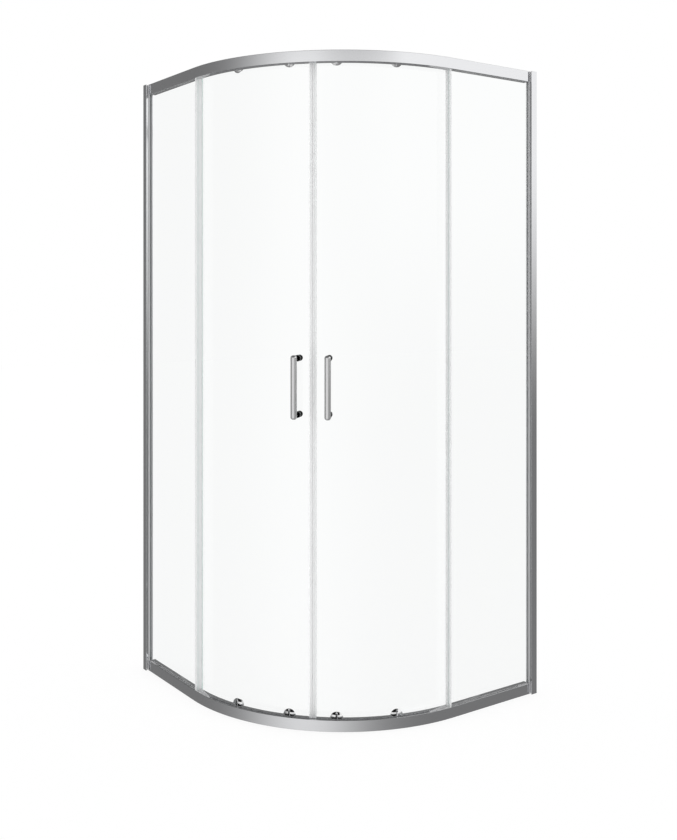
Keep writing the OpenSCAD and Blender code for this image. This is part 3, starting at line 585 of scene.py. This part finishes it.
def clear_glass(name, across):
    """Thin clear glass: see-through, with a mirror mixed in by the angle as glass mirrors.
    across gives how far a normal points through the pane, and the rest is its edge."""
    pane = Finish(name)
    edge = 1 - abs(across(pane)).step(*EDGE_FACING)
    see = pane.node("ShaderNodeBsdfTransparent", None, {"Color": GLASS_TINT})
    mirror = pane.node("ShaderNodeBsdfGlossy", None, {"Roughness": 0.0})
    inside = pane.node("ShaderNodeNewGeometry", output="Backfacing")
    fresnel = pane.node("ShaderNodeFresnel", None, {"IOR": GLASS_IOR})
    factor = pane.maths("MINIMUM", fresnel * MIRROR_GAIN, MIRROR_LIMIT) * (1 - inside)
    body = pane.node("ShaderNodeMixShader", None, {0: factor, 1: see, 2: mirror})
    ground_see = pane.node("ShaderNodeBsdfTransparent", None, {"Color": EDGE_TINT})
    ground_body = pane.node("ShaderNodeBsdfDiffuse", None, {"Color": EDGE_BODY})
    rim = pane.node("ShaderNodeMixShader", None, {0: EDGE_COVER, 1: ground_see, 2: ground_body})
    return pane.close(pane.node("ShaderNodeMixShader", None, {0: edge, 1: body, 2: rim}))


def through_flat(axis):
    """How far a normal points through a flat pane that is square to that axis."""
    return lambda pane: pane.node("ShaderNodeTexCoord", output="Normal").axes()[axis]


dress("fixed_glass_right", clear_glass("pane_glass_right", through_flat(0)))
dress("fixed_glass_left", clear_glass("pane_glass_left", through_flat(1)))

# Glazing gaskets and slot fillers: soft grey PVC channels round the panes' edges, with a
# bead over each jamb, and clear wedges that lie on the rails beside the panes.
BEAD_EDGE = 0.35
GASKET = even("grey_gasket", (0.46, 0.46, 0.47, 1), rough=0.45, drift=0.15, patch=200.0,
              grain=(1800.0, 0.00003))
FILLER = even("clear_filler", (0.78, 0.78, 0.79, 1), rough=0.2, drift=0.1, patch=60.0,
              Alpha=0.42)

eased("glazing_beads", "jamb_gaskets", BEAD_EDGE, GASKET, "frame", "gasket")
dress("rail_gaskets", GASKET)
dress("slot_fillers", FILLER)

# The pane seals: translucent PVC strips pushed over the panes' free edges. Behind the
# pane each has a hollow, and a fin that hooks the door's seal when the door is shut.
SEAL_FRONT, SEAL_BACK, SEAL_END, SEAL_LIP, SEAL_WALL = 1.0, 21.2, -13.4, -6.9, 1.4
PANE_FRONT, PANE_BACK, PANE_EDGE, HOLLOW_LIP = 5.95, 11.05, -12.0, -8.3
FIN = ((19.9, -9.8), (20.9, -7.0), (32.2, 4.6, 0.3), (32.2, 3.7, 0.3))
FIN_BOTTOM, FIN_TOP = 47.0, 1861.0
PVC_LINES, PVC_DEPTH, PVC_HAZE = 900.0, 0.00002, 14.0
PVC_ROUGH, PVC_ROUGH_DRIFT, PVC_COVER_DRIFT = 0.28, 0.1, 0.06


def translucent(name, base, cover):
    """Milky PVC: pale and half see-through, with faint lines along its length. cover
    gives how much of what is behind is hidden."""
    strip = Finish(name)
    lines = strip.noise(PVC_LINES, (1, DRAWN_OUT, 1), where=strip.extrusion())
    haze = strip.noise(PVC_HAZE)
    return strip.principled(base, PVC_ROUGH + PVC_ROUGH_DRIFT * haze,
                            Alpha=cover(strip) + PVC_COVER_DRIFT * (haze - 0.5),
                            Normal=strip.bump(lines, PVC_DEPTH))


def upright(section, phi, bottom, top):
    """A section (depth, distance along the rail) carried up from bottom to top."""
    spot, inward, ahead = stand(phi)
    ends = spot + np.array([[bottom], [top]]) * UP
    return carry(section, ends, np.tile(inward, (2, 1)), np.tile(ahead, (2, 1)))


SEAL = translucent("milky_pvc", (0.91, 0.915, 0.92, 1), cover=lambda strip: 0.48)
pane_seal = upright([
    outline([(SEAL_FRONT, SEAL_END, 0.7), (SEAL_BACK, SEAL_END, 0.7), (SEAL_BACK, SEAL_LIP, 0.7),
             (PANE_BACK, SEAL_LIP, 0.5), (PANE_BACK, PANE_EDGE, 0.2), (PANE_FRONT, PANE_EDGE, 0.2),
             (PANE_FRONT, SEAL_LIP, 0.5), (SEAL_FRONT, SEAL_LIP, 0.7)]),
    oblong(PANE_BACK + SEAL_WALL, SEAL_BACK - SEAL_WALL, PANE_EDGE, HOLLOW_LIP, 0.4, hole=True),
    oblong(SEAL_FRONT + SEAL_WALL, PANE_FRONT - SEAL_WALL, PANE_EDGE, HOLLOW_LIP, 0.3, hole=True)],
    90, LOW_FACE, HIGH_FACE)
pane_fin = upright([outline(FIN)], 90, FIN_BOTTOM, FIN_TOP)
for side, flip in SIDES.items():
    fit(f"pane_strip_{side}", assemble(pane_seal + pane_fin, flip), SEAL, "frame", "clear_seal",
        f"pane_seal_{side}")

# The door stops: black rubber blocks pressed into both tracks, which end each door's
# travel.
STOP_EDGE = 0.8
STOP = even("black_rubber", (0.025, 0.025, 0.026, 1), rough=0.6, drift=0.2, patch=300.0,
            grain=(1500.0, 0.00005))
eased("track_stops", "door_stops", STOP_EDGE, STOP, "frame", "stop_rubber")

# The doors: clear toughened glass, bent to the corner's radius, with six holes each. A
# clear flanged bush in every hole keeps the fittings off the glass.
BUSH = even("clear_bush", (0.70, 0.71, 0.72, 1), rough=0.15, drift=0.1, patch=90.0, Alpha=0.12)


def through_bent(pane):
    """How far a normal points away from the corner's centre."""
    a, b, _ = pane.place.axes()
    m, n, _ = pane.node("ShaderNodeTexCoord", output="Normal").axes()
    a, b = a - CENTRE * MM, b + CENTRE * MM
    return (a * m + b * n) / pane.maths("SQRT", a * a + b * b)


DOOR_GLASS = clear_glass("door_glass", through_bent)
for side in SIDES:
    dress(f"door_glass_{side}", DOOR_GLASS)
    dress(f"glass_bushes_{side}", BUSH)

# The doors' own seals: a hook seal on the rear edge, and a magnetic seal on the front
# edge with a flexible magnet strip in its pocket.
DOOR_BOTTOM, DOOR_TOP = 8.0, 1896.0
REAR_EDGE, SHUT = 91.3363, 45.0
STRIP_FRONT, STRIP_BACK, GLASS_FRONT, GLASS_BACK = 31.6, 39.6, 32.9, 38.3
HOOK_LIP, HOOK_FLOOR, HOOK_END, HOOK_REACH, HOOK_WALL = -6.5, 0.1, 1.4, 24.6, 0.9
MEETING, MAGNET_FLOOR, MAGNET_LIP = 0.2, 5.6, 11.7
POCKET_PLAY, POCKET_FLOOR_PLAY = 0.1, 0.05
MAGNET_FRONT, MAGNET_BACK, MAGNET_LOW, MAGNET_HIGH = 32.7, 38.5, 1.35, 4.55
MAGNET_COVER, GRIP_COVER, GRIP_START, GRIP_CLEAR = 0.46, 0.08, 9.0, 10.0

hook_seal = upright([
    outline([(STRIP_FRONT, HOOK_LIP, 0.4), (GLASS_FRONT, HOOK_LIP, 0.4),
             (GLASS_FRONT, HOOK_FLOOR, 0.2), (GLASS_BACK, HOOK_FLOOR, 0.2),
             (GLASS_BACK, HOOK_LIP, 0.4), (STRIP_BACK, HOOK_LIP, 0.4),
             (STRIP_BACK, HOOK_END, 0.8), (STRIP_FRONT, HOOK_END, 0.8)])],
    REAR_EDGE, DOOR_BOTTOM, DOOR_TOP)
hook_root, hook_side = STRIP_FRONT + 0.2, HOOK_LIP + HOOK_WALL
hook_fin = upright([
    outline([(HOOK_REACH, HOOK_LIP, 0.3), (hook_root, HOOK_LIP), (hook_root, hook_side),
             (HOOK_REACH, hook_side, 0.3)])],
    REAR_EDGE, DOOR_BOTTOM, DOOR_TOP)
magnet_seal = upright([
    outline([(STRIP_FRONT, MEETING, 0.9), (STRIP_BACK, MEETING, 0.9), (STRIP_BACK, MAGNET_LIP, 0.4),
             (GLASS_BACK, MAGNET_LIP, 0.4), (GLASS_BACK, MAGNET_FLOOR, 0.2),
             (GLASS_FRONT, MAGNET_FLOOR, 0.2), (GLASS_FRONT, MAGNET_LIP, 0.4),
             (STRIP_FRONT, MAGNET_LIP, 0.4)]),
    oblong(MAGNET_FRONT - POCKET_PLAY, MAGNET_BACK + POCKET_PLAY,
           MAGNET_LOW - POCKET_FLOOR_PLAY, MAGNET_HIGH + POCKET_FLOOR_PLAY, 0.2, hole=True)],
    SHUT, DOOR_BOTTOM, DOOR_TOP)
magnet = upright([oblong(MAGNET_FRONT, MAGNET_BACK, MAGNET_LOW, MAGNET_HIGH, 0.25)],
                 SHUT, DOOR_BOTTOM, DOOR_TOP)


def round_the_magnet(strip):
    """The seal hides most near the doors' meeting plane and is clear where it grips the
    glass: the distance from that plane is |x + y| / sqrt 2."""
    a, b, _ = strip.place.axes()
    grip = (abs(a + b) / math.sqrt(2)).step(GRIP_START * MM, GRIP_CLEAR * MM)
    return MAGNET_COVER - (MAGNET_COVER - GRIP_COVER) * grip


MAGNET_SEAL = translucent("milky_pvc_magnet", (0.98, 0.98, 0.985, 1), round_the_magnet)
HOOK_SEAL = translucent("clear_pvc", (0.95, 0.955, 0.96, 1), cover=lambda strip: 0.06)
STRIP = even("magnet_strip", (0.97, 0.97, 0.97, 1), rough=0.5, drift=0.1, patch=80.0)
for side, flip in SIDES.items():
    door = f"door_{side}"
    fit(f"hook_strip_{side}", assemble(hook_seal + hook_fin, flip), HOOK_SEAL, door, "clear_seal",
        f"hook_seal_{side}")
    fit(f"meeting_strip_{side}", assemble(magnet_seal, flip), MAGNET_SEAL, door, "magnet_cover",
        f"magnet_seal_{side}")
    fit(f"magnet_core_{side}", assemble(magnet, flip), STRIP, door, "magnet",
        f"magnet_strip_{side}")

# The handles: a satin metal bar with rounded ends on two chrome pillars outside each door,
# and two chrome knobs inside, drawn together through the glass by their screws. Pillars and knobs
# are coloured near black, a painted dark reflection.
HANDLE_PHI, HANDLE_Z, BAR_DEPTH = 50.0113, 958.0, -2.0
BAR_R, BAR_HALF, BAR_END = 9.0, 90.0, 7.0
PILLAR_R, PILLAR_FRONT, PILLAR_NECK, PILLAR_BACK = 7.5, 4.0, 29.7, 32.2
PILLAR_FOOT_R, PILLAR_HALF_PITCH = 9.0, 80.0
KNOB_R, KNOB_FRONT, KNOB_BACK, KNOB_END = 9.0, 38.95, 60.95, 2.2
GROOVE_R, GROOVE = 8.5, (54.0, 54.4, 55.2, 55.6)
KNOB_SCREW_R, KNOB_SCREW_FRONT = 4.0, 25.0
BAR_SIDES, BAR_END_STEPS = 72, 14

bar_section = outline([(0, -BAR_HALF), (BAR_R, -BAR_HALF, BAR_END), (BAR_R, BAR_HALF, BAR_END),
                       (0, BAR_HALF)], steps=BAR_END_STEPS)
pillar_section = outline([(0, PILLAR_FRONT), (PILLAR_R, PILLAR_FRONT), (PILLAR_R, PILLAR_NECK, 0.8),
                          (PILLAR_FOOT_R, PILLAR_NECK, 0.6), (PILLAR_FOOT_R, PILLAR_BACK, 0.4),
                          (0, PILLAR_BACK)])
knob_section = outline([(0, KNOB_SCREW_FRONT), (KNOB_SCREW_R, KNOB_SCREW_FRONT),
                        (KNOB_SCREW_R, KNOB_FRONT, 0.3), (KNOB_R, KNOB_FRONT, 0.8),
                        (KNOB_R, GROOVE[0], 0.5), (GROOVE_R, GROOVE[1], 0.3),
                        (GROOVE_R, GROOVE[2], 0.3), (KNOB_R, GROOVE[3], 0.5),
                        (KNOB_R, KNOB_BACK, KNOB_END), (0, KNOB_BACK)])
bar_centre, inward, ahead = stand(HANDLE_PHI, BAR_DEPTH, 0, HANDLE_Z)
bar = turned([bar_section], bar_centre, UP, inward, ahead, BAR_SIDES)
pillars, knobs = [], []
for lift in (-PILLAR_HALF_PITCH, PILLAR_HALF_PITCH):
    spot, inward, ahead = stand(HANDLE_PHI, 0, 0, HANDLE_Z + lift)
    pillars += turned([pillar_section], spot, inward, ahead, UP)
    knobs += turned([knob_section], spot, inward, ahead, UP)
SATIN = even("satin_bar", (0.80, 0.80, 0.805, 1), rough=0.13, drift=0.07, patch=30.0, metal=0.86)
# Chrome with a near-black colour: the pillars' and knobs' dark mirror look is a painted dark
# reflection.
CHROME_PAINTED_DARK = even("chrome_painted_dark", (0.012, 0.012, 0.013, 1), rough=0.14, drift=0.06, patch=60.0,
            metal=1.0, **{"Specular Tint": (0.1, 0.1, 0.1, 1)})
for side, flip in SIDES.items():
    door = f"door_{side}"
    fit(f"handle_bar_{side}", assemble(bar, flip), SATIN, door, "handle", f"handle_{side}")
    fit(f"handle_pillars_{side}", assemble(pillars, flip), CHROME_PAINTED_DARK, door, "knob", f"handle_{side}")
    fit(f"inner_knobs_{side}", assemble(knobs, flip), CHROME_PAINTED_DARK, door, "knob", f"handle_knobs_{side}")

# The top rollers: chrome caps with a raised rib outside the glass, a steel axle riveted
# into each, a nylon wheel that runs in the rail's track, and a round nut inside.
ROLLER_PHIS = {"front": 52.5, "rear": 71.5}
TOP_CAP_Z, BOTTOM_CAP_Z, BOTTOM_WHEEL_Z = 1881.0, 26.0, 19.7
CAP_R, CAP_FRONT, CAP_BACK, CAP_DOME, CAP_EDGE = 18.5, 25.2, 32.2, 6.0, 0.8
RIB_FRONT, RIB_WIDTH, RIB_REACH, RIB_EDGE = 24.6, 5.0, 18.1, 0.9
STUD_R, STUD_FRONT, STUD_BACK = 4.0, 31.0, 43.8
AXLE_R, AXLE_HEAD_R, AXLE_HEAD = 2.5, 4.0, (14.1, 15.2)
SHOULDER_R, SHOULDER = 3.2, (19.0, 24.8)
WHEEL_R, WHEEL_FRONT, WHEEL_BACK, BORE_R = 9.5, 14.0, 18.8, 2.56
RING, RING_FLOOR, RECESS_R, RECESS_FLOOR = (4.4, 5.0, 7.2, 7.8), 18.2, 4.3, 15.35
NUT_R, NUT_FRONT, NUT_H, NUT_DOME = 12.0, 38.95, 7.0, 2.0
NUT_BEVEL, NUT_ROUND, NUT_CHAMFER, NUT_RINGS = 0.6, (0.2, 0.1), 0.3, 9
FLUTES, FLUTE_DIP, FLUTE_START, FLUTE_FADE, FLUTE_STEPS = 24, 0.35, 9.5, 2.0, 6
CROWN_STEPS, RIM_STEPS = 14, 8
CAP_SIDES, WHEEL_SIDES, PIN_SIDES, STUD_SIDES = 96, 72, 48, 32


def domed(radius, rise, front, back, edge):
    """A domed disc's closed section with exact normals: a crown on a circle, a rim on a
    smaller circle tangent to the crown and to the side, and a flat back."""
    bend = (radius ** 2 + rise ** 2) / (2 * rise)
    tilt = math.asin((radius - edge) / (bend - edge))
    crown_centre = [0, front + bend]
    rim_centre = [radius - edge, front + bend - (bend - edge) * math.cos(tilt)]
    points, normals = [], []
    for middle, size, start, end, steps in (
            (crown_centre, bend, 0, tilt, CROWN_STEPS),
            (rim_centre, edge, tilt, math.pi / 2, RIM_STEPS)):
        swing = np.linspace(start, end, steps + 1)
        normals.append(np.stack([np.sin(swing), -np.cos(swing)], 1))
        points.append(middle + size * normals[-1])
    points += [[(radius, back), (radius, back), (0, back)]]
    normals += [[(1, 0), (0, 1), (0, 1)]]
    return np.vstack(points), np.vstack(normals)


def block(phi, height, depths, width, heights, radius, steps=4):
    """A box with every edge rounded: a small sphere's eight octants moved out to the
    box's corners, with flat faces between them."""
    spot, inward, ahead = stand(phi, 0, 0, height)
    low, high = (np.array(v, float) for v in zip(depths, (-width / 2, width / 2), heights))
    middle, core = (low + high) / 2, (high - low) / 2 - radius
    quarter = np.linspace(0, math.pi / 2, steps + 1)
    round_ = np.concatenate([quarter + k * math.pi / 2 for k in range(4)])
    sign_a = np.repeat([1, -1, -1, 1], steps + 1)
    sign_b = np.repeat([1, 1, -1, -1], steps + 1)
    round_, sign_a, sign_b = (np.r_[v, v[0]] for v in (round_, sign_a, sign_b))
    lift = np.r_[quarter - math.pi / 2, quarter]
    sign_c = np.repeat([-1, 1], steps + 1)
    level = np.cos(lift)[:, None]
    ball = np.stack(np.broadcast_arrays(level * np.cos(round_), level * np.sin(round_),
                                        np.sin(lift)[:, None]), -1)
    signs = np.stack(np.broadcast_arrays(sign_a[None], sign_b[None], sign_c[:, None]), -1)
    local = middle + signs * core + radius * ball
    basis = np.stack([inward, ahead, UP])
    patches = [grid(spot + local @ basis, ball @ basis)]
    ends = [0, steps + 1, 2 * steps + 2, 3 * steps + 3]
    for row, way in ((0, -1), (-1, 1)):
        flat = (spot + local[row, ends] @ basis)[None]
        patches.append((flat, np.broadcast_to(way * UP, flat.shape).copy(), flat[..., :2] * MM))
    return patches


def pin(phi, height, back):
    """An axle: riveted head, journal and shoulder."""
    spot, inward, ahead = stand(phi, 0, 0, height)
    section = outline([(0, AXLE_HEAD[0]), (AXLE_HEAD_R, AXLE_HEAD[0], 0.5),
                       (AXLE_HEAD_R, AXLE_HEAD[1], 0.2), (AXLE_R, AXLE_HEAD[1]),
                       (AXLE_R, SHOULDER[0]), (SHOULDER_R, SHOULDER[0], 0.2),
                       (SHOULDER_R, SHOULDER[1]), (AXLE_R, SHOULDER[1]), (AXLE_R, back), (0, back)])
    return turned([section], spot, inward, ahead, UP, PIN_SIDES)


def wheel(phi, height):
    """A nylon wheel: rounded tread, a recess for the axle's head, a groove on its back."""
    spot, inward, ahead = stand(phi, 0, 0, height)
    section = outline([(BORE_R, WHEEL_BACK, 0.2), (RING[0], WHEEL_BACK, 0.3),
                       (RING[1], RING_FLOOR, 0.3), (RING[2], RING_FLOOR, 0.3),
                       (RING[3], WHEEL_BACK, 0.3), (WHEEL_R, WHEEL_BACK, 0.7),
                       (WHEEL_R, WHEEL_FRONT, 0.7), (RECESS_R, WHEEL_FRONT, 0.3),
                       (RECESS_R, RECESS_FLOOR, 0.2), (BORE_R, RECESS_FLOOR, 0.1)])
    return turned([section], spot, inward, ahead, UP, WHEEL_SIDES)


def nut(phi, height):
    """A domed round nut with a fluted grip: its radius dips where a cosine of FLUTES
    times the angle is positive, and not near its middle."""
    spot, inward, ahead = stand(phi, 0, 0, height)
    bend = (NUT_R ** 2 + NUT_DOME ** 2) / (2 * NUT_DOME)
    flat = np.linspace(0, NUT_R - NUT_BEVEL, NUT_RINGS)
    crown, shoulder = NUT_H - (bend - np.sqrt(bend ** 2 - flat ** 2)), NUT_H - NUT_DOME
    reach = np.r_[flat, NUT_R - NUT_ROUND[0], NUT_R, NUT_R, NUT_R - NUT_CHAMFER, STUD_R]
    depth = np.r_[crown, shoulder - NUT_ROUND[1], shoulder - NUT_BEVEL, NUT_CHAMFER, 0, 0]
    angle = np.linspace(0, 2 * np.pi, FLUTE_STEPS * FLUTES + 1)[None]
    dip = FLUTE_DIP * np.clip(np.cos(FLUTES * angle), 0, 1) ** 2
    dip = dip * np.clip((reach[:, None] - FLUTE_START) / FLUTE_FADE, 0, 1)
    spokes = np.cos(angle)[..., None] * ahead + np.sin(angle)[..., None] * UP
    radius = (reach[:, None] - dip)[..., None]
    spots = spot + radius * spokes + (NUT_FRONT + depth)[:, None, None] * inward
    out = unit(spots - spot - (NUT_FRONT + NUT_H / 2) * inward)
    return [relief(spots, out)]


CHROME = even("chrome", (0.90, 0.90, 0.905, 1), rough=0.035, drift=0.05, patch=40.0, metal=1.0,
              detail=5.0)
AXLE = even("turned_steel", (0.55, 0.55, 0.57, 1), rough=0.22, drift=0.1, patch=1200.0, metal=1.0)
NYLON = even("white_nylon", (0.84, 0.84, 0.82, 1), rough=0.38, drift=0.1, patch=150.0,
             grain=(2200.0, 0.00001))

caps, axles, nuts = [], [], []
cap_section = domed(CAP_R, CAP_DOME, CAP_FRONT, CAP_BACK, CAP_EDGE)
stud_section = outline([(0, STUD_FRONT), (STUD_R, STUD_FRONT), (STUD_R, STUD_BACK, 0.6),
                        (0, STUD_BACK)])
for phi in ROLLER_PHIS.values():
    spot, inward, ahead = stand(phi, 0, 0, TOP_CAP_Z)
    caps += turned([cap_section], spot, inward, ahead, UP, CAP_SIDES)
    caps += turned([stud_section], spot, inward, ahead, UP, STUD_SIDES)
    caps += block(phi, TOP_CAP_Z, (RIB_FRONT, STUD_FRONT), RIB_WIDTH, (-RIB_REACH, RIB_REACH),
                  RIB_EDGE)
    axles += pin(phi, TOP_CAP_Z, STUD_FRONT)
    for height in (TOP_CAP_Z, BOTTOM_CAP_Z):
        nuts += nut(phi, height)
for side, flip in SIDES.items():
    door = f"door_{side}"
    fit(f"top_caps_{side}", assemble(caps, flip), CHROME, door, "chrome", f"top_roller_caps_{side}")
    fit(f"top_pins_{side}", assemble(axles, flip), AXLE, door, "axle", f"top_axles_{side}")
    fit(f"grip_nuts_{side}", assemble(nuts, flip), CHROME, door, "chrome", f"roller_nuts_{side}")
    for place, phi in ROLLER_PHIS.items():
        name = f"top_wheel_{side}_{place}"
        fit(f"{name}_tread", assemble(wheel(phi, TOP_CAP_Z), flip), NYLON, name, "wheel", name)

# The bottom rollers: a chrome housing with a channel, and in it a chrome slide that
# carries the axle. A coil spring holds the slide up, and pressing its rib frees the
# wheel from the rail's lip.
SPRING_T, SPRING_FOOT, SPRING_HEAD = 28.1, 8.5, 16.0
WIRE_R, COIL_FOOT_R, COIL_HEAD_R, COILS = 0.3, 1.9, 1.2, 6.5
FLAT_TURNS, SPRING_KEEP = 0.8, 0.133
SLIDE_RIB, SLIDE_RIB_BACK, SLIDE_AXLE_BACK = (16.0, 45.5), 30.1, 25.6
KEEPER, KEEPER_FRONT, KEEPER_WIDTH, KEEPER_EDGE = (21.2, 32.9), 27.9, 9.0, 0.3
HOUSING_EDGE = 0.35
COIL_STEPS, WIRE_SIDES = 160, 10

SPRING = even("spring_steel", (0.45, 0.45, 0.47, 1), rough=0.28, drift=0.1, patch=800.0,
              metal=1.0)


def coil(phi):
    """A cone-shaped compression spring: a round wire along a helix whose radius shrinks
    upwards and whose first and last turns lie flat."""
    spot, inward, ahead = stand(phi, SPRING_T, 0, 0)
    run = np.linspace(0, 1, COIL_STEPS + 1)[:, None]
    angle = 2 * np.pi * COILS * run
    spokes = np.cos(angle) * inward + np.sin(angle) * ahead
    rise = np.clip((run * COILS - FLAT_TURNS) / (COILS - 2 * FLAT_TURNS), 0, 1)
    height = SPRING_FOOT + WIRE_R + rise * (SPRING_HEAD - SPRING_FOOT - 2 * WIRE_R)
    line = spot + (COIL_FOOT_R + (COIL_HEAD_R - COIL_FOOT_R) * run) * spokes + height * UP
    heading = unit(np.gradient(line, axis=0))
    outer = unit(spokes - (spokes * heading).sum(1, keepdims=True) * heading)
    return carry([circle(WIRE_R, WIRE_SIDES)], line, outer, np.cross(heading, outer))


def slide(phi):
    """A release slide: the thumb rib, the flange that keeps it in, and the axle."""
    rib = block(phi, 0, (RIB_FRONT, SLIDE_RIB_BACK), RIB_WIDTH, SLIDE_RIB, RIB_EDGE)
    keeper = block(phi, 0, (KEEPER_FRONT, SLIDE_RIB_BACK), KEEPER_WIDTH, KEEPER, KEEPER_EDGE)
    return rib + keeper + pin(phi, BOTTOM_WHEEL_Z, SLIDE_AXLE_BACK)


for side, flip in SIDES.items():
    door = f"door_{side}"
    eased(f"bottom_housings_{side}", f"bottom_roller_caps_{side}", HOUSING_EDGE, CHROME, door,
          "chrome")
    for place, phi in ROLLER_PHIS.items():
        name = f"bottom_wheel_{side}_{place}"
        fit(f"{name}_tread", assemble(wheel(phi, BOTTOM_WHEEL_Z), flip), NYLON, name, "wheel", name)
        name = f"release_slide_{side}_{place}"
        fit(f"{name}_rib", assemble(slide(phi), flip), CHROME, name, "slide", name)
        name = f"release_spring_{side}_{place}"
        wound = fit(f"{name}_coil", assemble(coil(phi), flip), SPRING, door, "spring", name)
        spot = stand(phi, SPRING_T)[0] * MM
        spot = spot if side == "right" else -spot[[1, 0, 2]]
        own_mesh(wound)
